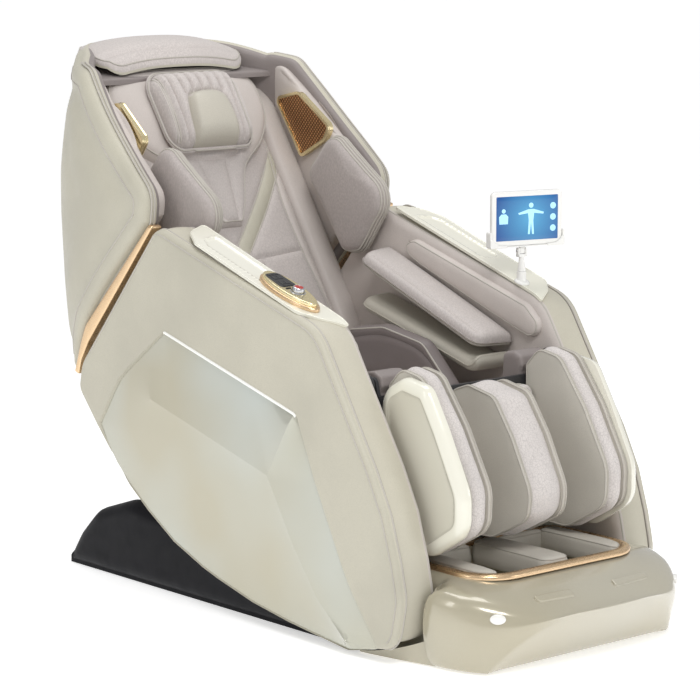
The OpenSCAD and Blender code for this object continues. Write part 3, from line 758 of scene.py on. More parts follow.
def arm_shells(name, sign):
    """The leather side face, the padded body behind it and the piped seams."""
    place = side_of(sign)
    whole = anticlockwise(resample(rounded(ARM + BELLY + ARM_REAR), 6))
    raised = [(y, z + 7, r) for y, z, r in BELLY]
    hexagon = anticlockwise(resample(rounded(HEX_TOP + BELLY + HEX_REAR), 8))

    def relief(p, away):
        dip = inside(p, hexagon) * np.clip(distance(p, hexagon) / 5, 0, 1)
        return -1.6 * np.exp(-away / 40) - 8 * dip

    # The side walls take the lighter cream copy, painted highlight.
    side = panel("arm_side_" + name, rounded(ARM + raised + ARM_REAR), place, ARM_OUT, 371, rim=13,
                 relief=relief,
                 folds=[hexagon, shrink(hexagon, 5)], spacing=16, crown=1, rows=2,
                 materials=[CREAM, CREAM_EDGE_LIT, CREAM])
    core_low = [(-450, 48, 10), (-420, 66, 10), (-410, 215, 10), (320, 255, 60), (455, 380, 20)]
    body_line = rounded([(232, 867, 45), (-333, 695, 110), (-565, 330, 600), (-607, 150, 90), (-584, 48, 50)]
                        + core_low + [(541, 452, 30), (529, 515, 70)])
    # The body's hidden outer face takes the darker mauve copy (painted shade); its side walls take the
    # lighter cream copy (painted highlight).
    body = panel("arm_body_" + name, body_line, place, 370, ARM_IN, rim=3, back_rim=15, spacing=14,
                 crown=3, rows=6, materials=[MAUVE_SHADED, CREAM_EDGE_LIT, MAUVE])

    def strip(line, start, end, w, radius, label):
        run = seam_run(anticlockwise(line), start, end)
        return tubes(label + name, [at_height(place, run, w)], radius, PIPING)

    seam = strip(whole, (548, 470), (-560, 26), 371.5, 2.6, "arm_seam_")
    stitch = strip(shrink(whole, 11), (500, 560), (-560, 60), ARM_OUT - 1.4, 1.6, "arm_stitch_")
    inner = strip(shrink(whole, 3), (225, 861), (-590, 60), ARM_IN + 10, 2.6, "arm_inner_seam_")
    side = join("arm_side_" + name, side, seam, stitch)
    body = join("arm_body_" + name, body, inner)
    finish_piece(side, "seat", "arm_leather", "arm_band_" + name)
    finish_piece(body, "seat", "inner_leather", "arm_core_" + name, pad=0.9)

    inwards = inwards_of(sign)
    cushion_line = rounded([(-300, 684, 40), (108, 806, 40), (122, 766, 30), (60, 738, 40), (-200, 646, 60),
                            (-320, 606, 30), (-350, 640, 26)])
    cushion = panel("arm_cushion_" + name, cushion_line, inwards, -272, -(ARM_IN + 1), rim=9, puff=9,
                    spacing=10,
                    crown=1, rows=2, materials=[MAUVE])
    cushion = piped(cushion, inwards, [shrink(resample(cushion_line, 6), 4)], -230, 1.6, closed=True)
    finish_piece(cushion, "seat", "inner_leather", pad=0.8)


def seam_run(line, start, end):
    """The stretch of a closed anticlockwise line from near start, anticlockwise, to near end."""
    a = int(np.argmin(((line - np.array(start)) ** 2).sum(1)))
    b = int(np.argmin(((line - np.array(end)) ** 2).sum(1)))
    if b < a:
        b += len(line)
    return line[[i % len(line) for i in range(a, b + 1)]]


def short_run(line, start, end, most=0.6):
    """The stretch between two places that takes up no more than most of the line."""
    run = seam_run(line, start, end)
    return seam_run(line, end, start) if len(run) > len(line) * most else run


def side_shell(name, sign):
    """The glossy lower shell: three facets that meet at a crease, and a near-white strip along its top edge
    as a painted highlight.
    """
    place = side_of(sign)
    crease = np.array(CREASE, float)
    outline = rounded(HEX_TOP + BELLY + HEX_REAR)
    facet = np.array([(-179, 356), (-262, 500)], float)

    def relief(p, away):
        d = np.minimum(distance(p, crease, False), distance(p, facet, False) + 6)
        return -14.0 * d / (d + away + 1e-6)

    shell = panel("side_shell_" + name, outline, place, 400, 374, rim=2.5, relief=relief,
                  folds=[resample(crease, 10, False), resample(facet, 10, False)], spacing=11, rows=2,
                  materials=[PEARL], sharp=5)
    # A near-white tube along the shell's top edge: a painted highlight where the bevel catches the light.
    bevel = shrink(anticlockwise(resample(outline, 6)), 3.5)
    top = short_run(bevel, (200, 628), (-272, 500), 0.5)
    line = tubes("shell_highlight_line_" + name, [at_height(place, top, 391.5)], 3.6, SHELL_HIGHLIGHT)
    shell = join("side_shell_" + name, shell, line)
    finish_piece(shell, "seat", "pearl_shell", "side_shell_" + name)


ARM_TOP_BEND = 110


def arm_top(name, sign):
    """The glossy insert on the armrest's top: a frame round a shallow tray."""
    def place(u, v, w):
        a = np.clip(6 - v, 0, None) / ARM_TOP_BEND
        bent = v < 6
        return on_arm(sign * u, np.where(bent, 6 - (ARM_TOP_BEND + w) * np.sin(a), v),
                      np.where(bent, (ARM_TOP_BEND + w) * np.cos(a) - ARM_TOP_BEND, w))

    outer = rounded([(290, -34, 5), (340, -2, 40), (378, 46, 40), (380, 420, 30), (352, 478, 30),
                     (290, 508, 10)])
    tray = rounded([(306, 190, 14), (358, 190, 14), (360, 404, 14), (346, 430, 14), (306, 440, 8)])
    floor = anticlockwise(resample(tray, 8))

    def relief(p, away):
        deep = inside(p, floor)
        d = distance(p, floor)
        return np.where(deep, -3.2 * np.clip(d / 4, 0, 1), 1.2 * np.clip(1 - d / 6, 0, 1))

    top = panel("arm_top_" + name, outer, place, 6, 0, rim=3, relief=relief, folds=[looped(floor)], spacing=8,
                rows=1,
                materials=[GLOSS_CREAM], sharp=50)
    edge = shrink(resample(outer, 6), 1.5)
    bead = tubes("arm_top_bead_" + name, [at_height(place, edge, 5.2)], 1.8,
                 GLOSS_CREAM, closed=True)
    return join("arm_top_" + name, top, bead)


def armrests():
    for name, sign in SIDES:
        arm_shells(name, sign)
        side_shell(name, sign)
    tops = [arm_top(name, sign) for name, sign in SIDES]
    for top in tops:
        finish_piece(top, "seat", "cream_gloss")
    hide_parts("arm_tops")


armrests()


# ---------------------------------------------------------------- backrest shell

PLAN = [(0, 840), (150, 840), (215, 818), (285, 742), (342, 668), (372, 596), (385, 500), (385, 380),
        (384, 240)]
REAR_Y = ((446, 748), (560, 798), (700, 824), (860, 840), (960, 839), (1100, 828), (1243, 810), (1262, 806))
SHELL_THICK = 54


class Bend:
    """A flat pattern bent round the back: u runs from the middle of the rear forwards, v is the height."""

    def __init__(self, inset=0.0):
        path = curve_through(PLAN, step=5)
        self.length = np.concatenate([[0], np.cumsum(np.linalg.norm(np.diff(path, axis=0), axis=1))])
        self.path = path
        way = np.gradient(path, axis=0)
        way /= np.linalg.norm(way, axis=1, keepdims=True)
        self.out = np.column_stack([-way[:, 1], way[:, 0]])
        self.inset = inset

    def spot(self, u, v, w):
        s = np.sign(u) + (u == 0)
        a = np.abs(u)
        x, y = (np.interp(a, self.length, self.path[:, k]) for k in (0, 1))
        nx, ny = (np.interp(a, self.length, self.out[:, k]) for k in (0, 1))
        rear = np.interp(v, *zip(*REAR_Y))
        y = np.where(y > 400, 400 + (y - 400) * (rear - 400) / 440, y)
        x = x * wing_taper(v)
        return np.column_stack([s * (x + nx * w), y + ny * w, v]) * MM

    def u_of(self, y, z):
        """The u at which the side view's (y, z) lies."""
        rear = np.interp(z, *zip(*REAR_Y))
        y = np.where(y > 400, 400 + (y - 400) * 440 / (rear - 400), y)
        return np.interp(-y, -self.path[:, 1], self.length)


BEND = Bend()
WING_FRONT = [(700, 1222, 60), (575, 1203, 60), (280, 935, 60), (289, 868, 14), (546, 602, 120),
              (592, 482, 22),
              (730, 452, 40)]


def wing_pattern(inset=0.0):
    """One side of the shell's flat pattern, from the top edge to the bottom edge."""
    line = np.array(rounded(WING_FRONT + [(760, 820, 0)]))
    if inset:
        line = shrink(line, inset)
    line = anticlockwise(line)
    top = int(np.argmax(line[:, 1] + 0.2 * line[:, 0]))
    line = np.roll(line, -top, 0)
    end = int(np.argmin(line[:, 1] - 0.2 * line[:, 0]))
    side = line[:end + 1]
    return np.column_stack([BEND.u_of(side[:, 0], side[:, 1]), side[:, 1]])


def back_shell():
    """The padded outer shell: both wings and the rear in one bent slab, with a piped ridge on its front."""
    side = wing_pattern()
    u0 = side[0][0]
    top = curve_through([side[0], (u0 * 0.72, 1238), (u0 * 0.4, 1248), (0, 1253)], step=8)[1:-1]
    low_u, low_v = side[-1]
    low = curve_through([side[-1], (low_u * 0.6, 449), (0, 448)], step=10)[1:-1]
    half = np.vstack([top[::-1], side, low])
    outline = np.vstack([half, half[::-1] * (-1, 1)])
    hexagon = np.array([(BEND.u_of(y, z), z) for y, z in ((629, 1044), (562, 910), (642, 736))], float)
    creases = [resample(hexagon * (s, 1), 14, False) for s in (1, -1)]

    def place(u, v, w):
        thick = np.interp(np.abs(u), (150, 330), (0.42, 1.0))
        return BEND.spot(u, v, w * np.where(w < -20, thick, 1.0))

    def relief(p, away):
        near = np.minimum(distance(p, creases[0], False), distance(p, creases[1], False))
        hollow = 7.0 * np.exp(-((away - 62) / 30) ** 2) * (np.abs(p[:, 0]) > 250)
        return -hollow - 2.5 * np.exp(-((near / 26) ** 2))

    # The shell's inner face takes the darker mauve copy, painted shade inside the wings; its side walls take
    # the lighter cream copy, painted highlight.
    shell = panel("back_shell", outline, place, 0, -SHELL_THICK, rim=24, back_rim=14, relief=relief,
                  spacing=17,
                  step=8, crown=5, rows=5, materials=[CREAM, CREAM_EDGE_LIT, MAUVE_SHADED])
    line = resample(anticlockwise(outline), 8)
    strips = []
    for depth, out in ((-22, 3.8), (-30, 4.6)):
        rim = line + normals(line) * out
        keep = short_run(rim, side[2], side[-6])
        for s in (1, -1):
            strips.append(at_height(place, keep * (s, 1), depth))
    ridge = shrink(line, 40)
    run = short_run(ridge, side[3] - (20, 40), side[-8] + (-20, 40))
    starts = at_height(BEND.spot, run, 30)
    ends = at_height(BEND.spot, run, -30)
    near = on_surface(shell, starts, ends - starts)
    strips += [near, near * (-1, 1, 1)]
    piping = tubes("back_shell_piping", strips, 2.2, PIPING)
    shell = join("back_shell", shell, piping)
    finish_piece(shell, "backrest", "arm_leather", "rear_shell", "wing_right", "wing_left", pad=0.9)


def linings():
    for name, sign in SIDES:
        outline = rounded([(640, 1192, 30), (585, 1186, 50), (302, 930, 46), (310, 880, 14), (560, 612, 110),
                           (604, 500, 20), (640, 492, 10)])
        seams = [curve_through([(590, 1168), (470, 1092), (396, 1010), (340, 930)], step=12)]
        lining = panel("wing_lining_" + name, outline, on_wing(sign), -301, -329, rim=9, puff=5, seams=seams,
                       seam_depth=3, seam_width=5, spacing=14, rows=2, materials=[MAUVE])
        finish_piece(lining, "backrest", "inner_leather", pad=0.7)

        def rail(u, v, w, sign=sign):
            return on_back(sign * u, v, w)

        bolster = panel("back_bolster_" + name, rounded([(226, 60, 20), (300, 60, 20), (300, 765, 30),
                                                         (226, 765, 30)]),
                        rail, -12, -62, rim=16, puff=14, spacing=14, rows=2, materials=[MAUVE])
        finish_piece(bolster, "backrest", "inner_leather", pad=0.7)
    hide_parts("wing_linings")


def wing_trims():
    for name, sign in SIDES:
        outline = [(283, 866, 8), (536, 604, 60), (556, 560, 20), (583, 486, 4), (566, 480, 6),
                   (555, 516, 30),
                   (524, 564, 40), (266, 862, 5)]
        trim = panel("wing_trim_" + name, rounded(outline), side_of(sign), 372, 342, rim=5, back_rim=3,
                     puff=2,
                     spacing=9, rows=2, materials=[GOLD])
        finish_piece(trim, "backrest", "gold_trim")
    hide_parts("wing_trims")


def speakers():
    """A woven grille in a raised gold bezel, on each wing's inner wall."""
    outline = resample(rounded([(606, 1108, 16), (512, 1128, 22), (400, 1048, 18), (424, 1012, 10),
                                (520, 962, 14)]), 4)
    for name, sign in SIDES:
        place = on_wing(sign)

        def weave(p, away):
            a, b = (p[:, 0] + p[:, 1]) * 0.45, (p[:, 0] - p[:, 1]) * 0.45
            return 0.7 * np.sin(a) * np.sin(b) * (away > 8)

        grille = panel("speaker_" + name, outline, place, -286, -300, rim=2, puff=4, relief=weave, spacing=5,
                       rows=1, materials=[COPPER, PALE_GOLD, PALE_GOLD])
        line = shrink(outline, 3)
        bezel = ring_strip("speaker_bezel_" + name, line, place, -285.5,
                           [(-4.5, 0), (-4, 3), (0, 4.4), (4, 3), (4.5, 0),
                                                                         (0, -6)], PALE_GOLD)
        grille = join("speaker_" + name, grille, bezel)
        finish_piece(grille, "backrest", "speaker_grille")
    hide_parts("speakers")


def ring_strip(name, line, place, height, profile, material):
    """A closed strip along a line in (u, v): its profile is (outwards, upwards) from the line at height."""
    line = anticlockwise(line)
    out = normals(line)
    n, k = len(line), len(profile)
    local = [np.column_stack([line + out * a, np.full(n, height + b)]) for a, b in profile]
    local = np.stack(local, 1).reshape(-1, 3)
    faces = []
    for i in range(n):
        for j in range(k):
            a, b = i * k + j, i * k + (j + 1) % k
            c, d = (i + 1) % n * k + j, (i + 1) % n * k + (j + 1) % k
            faces.append((a, b, d, c))
    return to_object(name, place(local[:, 0], local[:, 1], local[:, 2]), faces, [material], sharp=50)


def shoulder_pads():
    """Thick pads either side of the head: a textured face and a wide textured gusset with piped seams, in a
    darker copy of the cloth as painted shade.
    """
    outline = rounded([(449, 934, 40), (351, 1043, 45), (143, 899, 55), (247, 753, 40), (309, 749, 30)])
    line = resample(anticlockwise(outline), 5)
    for name, sign in SIDES:
        place = inwards_of(sign)
        pad = panel("shoulder_pad_" + name, outline, place, -236, -277.5, rim=14, back_rim=8, puff=9,
                    back_puff=0,
                    spacing=9, crown=5, rows=8, step=6, materials=[CRINKLE_SHADED, CRINKLE_SHADED, MAUVE])
        pad = inflate(pad, 4)
        strips = []
        for w in (243, 250, 257, 264):
            grown = line + normals(line) * 40
            starts = at_height(place, grown, -w)
            inner = line - normals(line) * 20
            ends = at_height(place, inner, -w)
            strips.append(on_surface(pad, starts, ends - starts, 0.2 * MM))
        piping = tubes("shoulder_piping_" + name, [s for s in strips if len(s) > 8], 2.4, PIPING, closed=True)
        pad = join("shoulder_pad_" + name, pad, piping)
        finish_piece(pad, "backrest", "inner_leather", "shoulder_pad_" + name, pad=0.8)


back_shell()
linings()
wing_trims()
speakers()
shoulder_pads()


# ---------------------------------------------------------------- back and head

def back_cushion():
    outline = rounded([(-230, 12, 30), (230, 12, 30), (230, 788, 40), (-230, 788, 40)])
    upper = both(curve_through([(216, 575), (120, 452), (-4, 318)], step=10))
    lower = both(curve_through([(229, 532), (140, 420), (36, 306)], step=10))
    sides = both(curve_through([(204, 30), (210, 142), (196, 296), (194, 435), (217, 601), (222, 700)],
                               step=12))
    cross = [curve_through([(-194, 298), (-60, 286), (0, 284), (60, 286), (194, 298)], step=12)]
    ribs = both([(66, 284), (66, 30)])
    seams = upper + lower + sides + cross + ribs

    def slot_of(c, kinds):
        x, s = np.abs(c[:, 0]), c[:, 1]
        low_v = np.interp(x, (36, 140, 229), (306, 420, 532))
        high_v = np.interp(x, (0, 120, 216), (322, 452, 575))
        strip = (s > low_v - 2) & (s < high_v + 2) & (x > 8)
        edge = x > np.interp(s, (30, 142, 296, 435, 601, 700), (204, 210, 196, 194, 217, 222))
        out = np.where(strip, 1, np.where(edge, 2, 0))
        return np.where(kinds > 0, 2, out)

    cushion = panel("back_cushion", outline, on_back, -4, -62, rim=26, puff=12, seams=seams, seam_depth=5,
                    seam_width=7, spacing=10, rows=3, crown=3, materials=[CRINKLE, CREAM, MAUVE],
                    slot_of=slot_of)
    cushion = piped(cushion, on_back, sides + [upper[0][6:], upper[1][6:]] + lower, 40, 2.0)
    finish_piece(cushion, "backrest", "seat_leather", "back_cushion", pad=0.8)


def head_pad():
    half = [(34, 372), (66, 430), (106, 520), (180, 582), (224, 645), (236, 714), (226, 766), (186, 800),
            (90, 812)]
    line = np.vstack([curve_through(half, step=8), curve_through(half, step=8)[::-1] * (-1, 1)])
    neck = [curve_through([(-78, 556), (0, 545), (78, 556)], step=10)]
    pad = panel("head_pad", line, on_back, 20, -2, rim=22, puff=32, seams=neck + both([(40, 545), (22, 392)]),
                seam_depth=5, seam_width=6, spacing=10, rows=2, crown=2, materials=[CRINKLE, MAUVE, MAUVE],
                slot_of=lambda c, k: np.where(c[:, 1] > 560, 1, 0))
    pad = piped(pad, on_back, [resample(shrink(resample(line, 8), 10), 8)], 60, 1.8, closed=True)
    finish_piece(pad, "backrest", "seat_leather", "head_pad", pad=0.75)


def pillow_place(u, v, w):
    return on_back(0.79 * u, 567 + 1.04 * (v - 575), w)


def head_pillow():
    """A fat channelled pillow with a smooth pad low in its middle."""
    outline = rounded([(-160, 575, 46), (160, 575, 46), (166, 772, 52), (-166, 772, 52)])
    channels = []
    for x in (-112, -75, -38, 0, 38, 75, 112):
        foot = 705 if abs(x) < 90 else 588
        channels.append(curve_through([(x * 1.02, 762), (x * 0.97, 730), (x * 0.95, foot)], step=8))
    ends = both(curve_through([(136, 760), (131, 675), (134, 586)], step=8)) \
        + both(curve_through([(143, 758), (138, 675), (141, 590)], step=8))
    smooth = curve_through([(-84, 580), (-80, 640), (-66, 690), (-40, 704), (0, 707), (40, 704), (66, 690),
                            (80, 640),
                            (84, 580)], step=7)

    def slot_of(c, kinds):
        x, s = np.abs(c[:, 0]), c[:, 1]
        pad = x < np.interp(s, (580, 640, 690, 704, 707), (84, 80, 66, 40, 0))
        return np.where(kinds > 0, 2, np.where(pad, 1, 0))

    def relief(p, away):
        x, s = np.abs(p[:, 0]), p[:, 1]
        edge = np.interp(s, (575, 640, 690, 704, 707), (84, 80, 66, 40, 0))
        return 6.0 * np.clip((edge - x) / 10, 0, 1) * (s < 707)

    pillow = panel("head_pillow", outline, pillow_place, 78, 40, rim=30, back_rim=20, puff=38, back_puff=4,
                   relief=relief, seams=channels + ends + [smooth], seam_depth=7, seam_width=7, spacing=6,
                   rows=4, crown=8, materials=[CRINKLE, BEIGE, CRINKLE], slot_of=slot_of)
    pillow = piped(pillow, pillow_place, [smooth] + ends, 160, 1.9)
    band = resample(anticlockwise(outline), 7)
    grown = band + normals(band) * 40
    starts = at_height(pillow_place, grown, 58)
    inner = pillow_place(band[:, 0] * 0.5, (band[:, 1] - 670) * 0.5 + 670, np.full(len(band), 58.0))
    loop = on_surface(pillow, starts, inner - starts, 0.2 * MM)
    cord = tubes("pillow_cord", [loop], 2.2, PIPING, closed=True)
    pillow = join("head_pillow", pillow, cord)
    finish_piece(pillow, "backrest", "seat_leather", "head_pillow", pad=0.85)


def head_flap():
    """The cover that folds over the top of the shell, and the lining under it, painted dark as shade."""
    def place(u, v, w):
        bow = 20 - 34 * np.abs(u / 240) ** 2.6
        z = np.interp(v, (636, 660, 700, 760, 800, 818), (1176, 1206, 1222, 1231, 1229, 1212))
        return np.column_stack([u, v, z + bow + w]) * MM

    line = rounded([(-232, 640, 60), (232, 640, 60), (206, 812, 60), (-206, 812, 60)])
    # The flap's side walls take the lighter cream copy, painted highlight.
    flap = panel("head_flap", line, place, 9, -6, rim=9, puff=7,
                 seams=[curve_through([(-200, 676), (0, 670), (200, 676)], step=12)],
                 seam_depth=4, seam_width=6, spacing=12, rows=2, materials=[CRINKLE, CREAM_EDGE_LIT, MAUVE])
    flap = piped(flap, place, [shrink(resample(line, 6), 5)], 60, 1.8, closed=True)
    finish_piece(flap, "backrest", "seat_leather", "head_flap", pad=0.5)

    def deck(u, v, w):
        return np.column_stack([u, v, 1176 + 0.18 * (v - 640) + w]) * MM

    # The lining under the flap takes the darker mauve copy, painted shade.
    top = panel("shell_top_lining", rounded([(-300, 628, 20), (300, 628, 20), (286, 700, 30), (216, 790, 30),
                                             (-216, 790, 30), (-286, 700, 30)]), deck, 0, -14, rim=5,
                                             spacing=18,
                rows=1, materials=[MAUVE_SHADED])
    finish_piece(top, "backrest", "inner_leather", pad=0.5)


back_cushion()
head_pad()
head_pillow()
head_flap()


# ---------------------------------------------------------------- seat and inner pads

def seat_cushion():
    def place(u, v, w):
        level = np.interp(v, (-330, -250, -60, 120, 225), (466, 468, 462, 470, 480))
        return np.column_stack([u, v, np.where(w > -30, level + w, 404 + (w + 58))]) * MM

    outline = rounded([(-266, -316, 40), (266, -316, 40), (266, 214, 24), (-266, 214, 24)])
    seams = both([(112, 208), (104, -60), (112, -250)]) + [curve_through([(-258, -246), (0, -238),
                                                                          (258, -246)], step=12)]
    seams += [curve_through([(-104, -60), (0, -54), (104, -60)], step=12)]
    # The cushion's underside takes the darker mauve copy, painted shade.
    cushion = panel("seat_cushion", outline, place, -3, -58, rim=22, puff=9, seams=seams, seam_depth=5,
                    seam_width=7, spacing=13, crown=4, rows=4, materials=[MAUVE, MAUVE, MAUVE_SHADED])
    cushion = piped(cushion, place, [seams[2]], 60, 2.0)
    finish_piece(cushion, "seat", "seat_leather", "seat_cushion", pad=0.8)


def hip_pads():
    outline = rounded([(160, 485, 15), (168, 590, 30), (30, 612, 60), (-110, 590, 60), (-205, 500, 10),
                       (-200, 485, 6)])
    for name, sign in SIDES:
        place = inwards_of(sign)
        # The hip pads take the very dark leather, painted shade.
        pad = panel("hip_pad_" + name, outline, place, -124, -158, rim=13, back_rim=6, puff=7, spacing=8,
                    crown=2,
                    rows=3, seams=[curve_through([(-176, 505), (-100, 566), (30, 588), (150, 568)], step=9)],
                    seam_depth=3, seam_width=5, materials=[HIP_SHADED])
        pad = piped(pad, place, [shrink(resample(outline, 6), 5)], -90, 2.0, closed=True)
        finish_piece(pad, "seat", "inner_leather", pad=0.8)
    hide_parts("hip_pads")


def shelf_place(foot, slope, sign):
    c, s = math.cos(math.radians(slope)), math.sin(math.radians(slope))

    def place(u, v, w):
        return np.column_stack([sign * u, foot[0] + v * c - w * s, foot[1] + v * s + w * c]) * MM
    return place


def forearm_pads():
    shelf = rounded([(172, 14, 30), (281, 2, 10), (281, 470, 10), (172, 450, 40)])
    for name, sign in SIDES:
        upper = shelf_place((-243, 575), 21, sign)
        pad = panel("forearm_pad_upper_" + name, shelf, upper, 33, 4, rim=16, back_rim=13, puff=10,
                    back_puff=5,
                    seams=[[(192, 30), (192, 420)]], seam_depth=3, seam_width=5, spacing=9, crown=4, rows=3,
                    materials=[CRINKLE, CRINKLE, BEIGE])
        low = resample(anticlockwise(shelf), 6)
        grown = low + normals(low) * 30
        ends = at_height(upper, low, 10)
        starts = at_height(upper, grown, 10)
        loop = on_surface(pad, starts, ends - starts, 0.2 * MM)
        pad = join(pad.name, pad, tubes("forearm_cord", [loop], 2.0, PIPING, closed=True))
        finish_piece(pad, "seat", "seat_leather", pad=0.8)

        def lower(u, v, w, sign=sign):
            base = shelf_place((-262, 515), 15.3, sign)
            curl = np.clip((62 - v) / 62, 0, 1)
            angle = curl * math.radians(100)
            radius = 36.0
            v2 = np.where(v < 62, 62 - (radius - w * 0.6) * np.sin(angle), v)
            w2 = np.where(v < 62, w + (radius - w * 0.6) * (1 - np.cos(angle)) * 0.9, w)
            return base(u, v2, w2)

        pad2 = panel("forearm_pad_lower_" + name, rounded([(172, 2, 20), (281, 2, 10), (281, 470, 10),
                                                           (172, 450, 40)]),
                     lower, 25, 1, rim=12, back_rim=11, puff=6, back_puff=4, spacing=8, crown=2, rows=2,
                     materials=[BEIGE])
        finish_piece(pad2, "seat", "seat_leather", pad=0.8)
    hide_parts("forearm_pads")


seat_cushion()
hip_pads()
forearm_pads()


# ---------------------------------------------------------------- calf rest

COVER = [(-405, 225, 30), (-400, 560, 60), (-470, 598, 40), (-548, 585, 40), (-600, 500, 120),
         (-668, 370, 90),
         (-668, 285, 60), (-560, 216, 60)]
OUTER = [(-402, 216, 20), (-396, 570, 30), (-440, 616, 40), (-510, 604, 50), (-590, 500, 120),
         (-664, 370, 90),
         (-660, 280, 60), (-540, 212, 60)]
MIDDLE = [(-402, 218, 20), (-396, 540, 30), (-455, 562, 40), (-540, 545, 50), (-600, 460, 120),
          (-660, 345, 80),
          (-650, 280, 50), (-540, 222, 60)]


def clipped(corners, y):
    line = rounded(corners, 7)
    line[:, 0] = np.minimum(line[:, 0], y)
    return resample(anticlockwise(line), 5)


def stack(name, corners, low, high, side, flange=9, proud=10):
    """One calf wall: a crackled band between two piped leather flanges."""
    place = side_of(side)
    line = clipped(corners, -398)
    inner = shrink(line, 6)
    small = shrink(line, proud + 4)
    band = panel(name, small, place, high - flange, low + flange, rim=3, back_rim=3, spacing=14,
                 crown=proud + 3,
                 rows=9, materials=[CALF, CRACKLE, CALF])
    parts = [band]
    for k, (a, b) in enumerate(((low, low + flange), (high - flange, high))):
        leaf = panel(name + "_leaf%d" % k, inner, place, b, a, rim=4, back_rim=4, puff=0, spacing=14,
                     crown=2.0,
                     rows=3, materials=[CALF])
        parts.append(leaf)
        for w in (a, b):
            edge = shrink(line, 7)
            parts.append(tubes("cord%d" % w, [at_height(place, edge, w)], 1.8,
                               PIPING, closed=True))
    return join(name, *parts)


def calf_rest():
    outer = [stack("calf_pad_" + name, OUTER, 173, 240, sign) for name, sign in SIDES]
    middle = stack("calf_pad_middle", MIDDLE, -57, 57, 1)
    for pad in outer + [middle]:
        finish_piece(pad, "leg_rest", "calf_leather", pad=0.85)
    for name, sign in SIDES:
        def back_place(u, v, w, sign=sign):
            y = np.interp(v, (235, 380, 530), (-430, -441, -428))
            return np.column_stack([sign * u, np.where(w > -10, y - w, -400 + 0 * w), v]) * MM

        rest = panel("calf_back_" + name, rounded([(61, 238, 8), (169, 238, 8), (169, 528, 20),
                                                   (61, 528, 20)]),
                     back_place, 0, -30, rim=8, puff=7, seams=[[(64, 330), (166, 330)],
                                                               [(64, 430), (166, 430)]],
                     seam_depth=4, seam_width=6, spacing=9, rows=2, materials=[CRACKLE, CALF, CALF])
        finish_piece(rest, "leg_rest", "calf_leather", pad=0.8)
    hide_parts("calf_pads")
    for name, sign in SIDES:
        line = clipped(COVER, -399)

        def relief(p, away):
            return -3.0 * np.clip((away - 26) / 4, 0, 1)

        seam = shrink(line, 26)

        # The bevel band outside the seam keeps the bright cream and the face inside it gets the darker copy:
        # painted highlight on the bevel.
        def slot_of(c, kinds):
            return np.where((kinds == 0) & inside(c[:, :2], seam), 1, 0)

        cover = panel("calf_cover_" + name, line, side_of(sign), 268, 243, rim=20, relief=relief,
                      slot_of=slot_of,
                      folds=[looped(seam)], spacing=8, rows=2, materials=[GLOSS_CREAM, COVER_FACE_DIMMED], sharp=50)
        finish_piece(cover, "leg_rest", "cream_gloss")
    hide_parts("calf_covers")


def leg_covers():
    """Padded covers over the two lift motors, inside the calf rest's hinge, in the darker mauve copy as
    painted shade.
    """
    outline = [(-385, 472, 4), (-386, 550, 3), (-394, 566, 8), (-388, 586, 10), (-366, 595, 12),
               (-330, 590, 16),
               (-322, 472, 10)]
    for name, sign in SIDES:
        # The motor covers take the darker mauve copy, painted shade in the hinge gap.
        cover = panel("leg_cover_" + name, rounded(outline), side_of(sign), 252.4, 168, rim=6, back_rim=10,
                      spacing=8,
                      rows=3, materials=[MAUVE_SHADED])
        finish_piece(cover, "seat", "inner_leather", pad=0.6)


calf_rest()
leg_covers()


# ---------------------------------------------------------------- foot box

FOOT_CURVE = [(333, -622), (331, -660), (314, -716), (284, -762), (236, -804), (170, -829), (86, -839),
              (0, -842)]
SKIRT_HALF = [(355, -430, 10), (351, -467, 0), (335, -546, 300), (311, -640, 20)]
WELL = [(212, -436, 40), (212, -690, 60), (26, -690, 30), (26, -436, 30)]
LAMP_AT, LAMP_WAY = (271, -780, 127), (0.68, -0.73, 0.05)


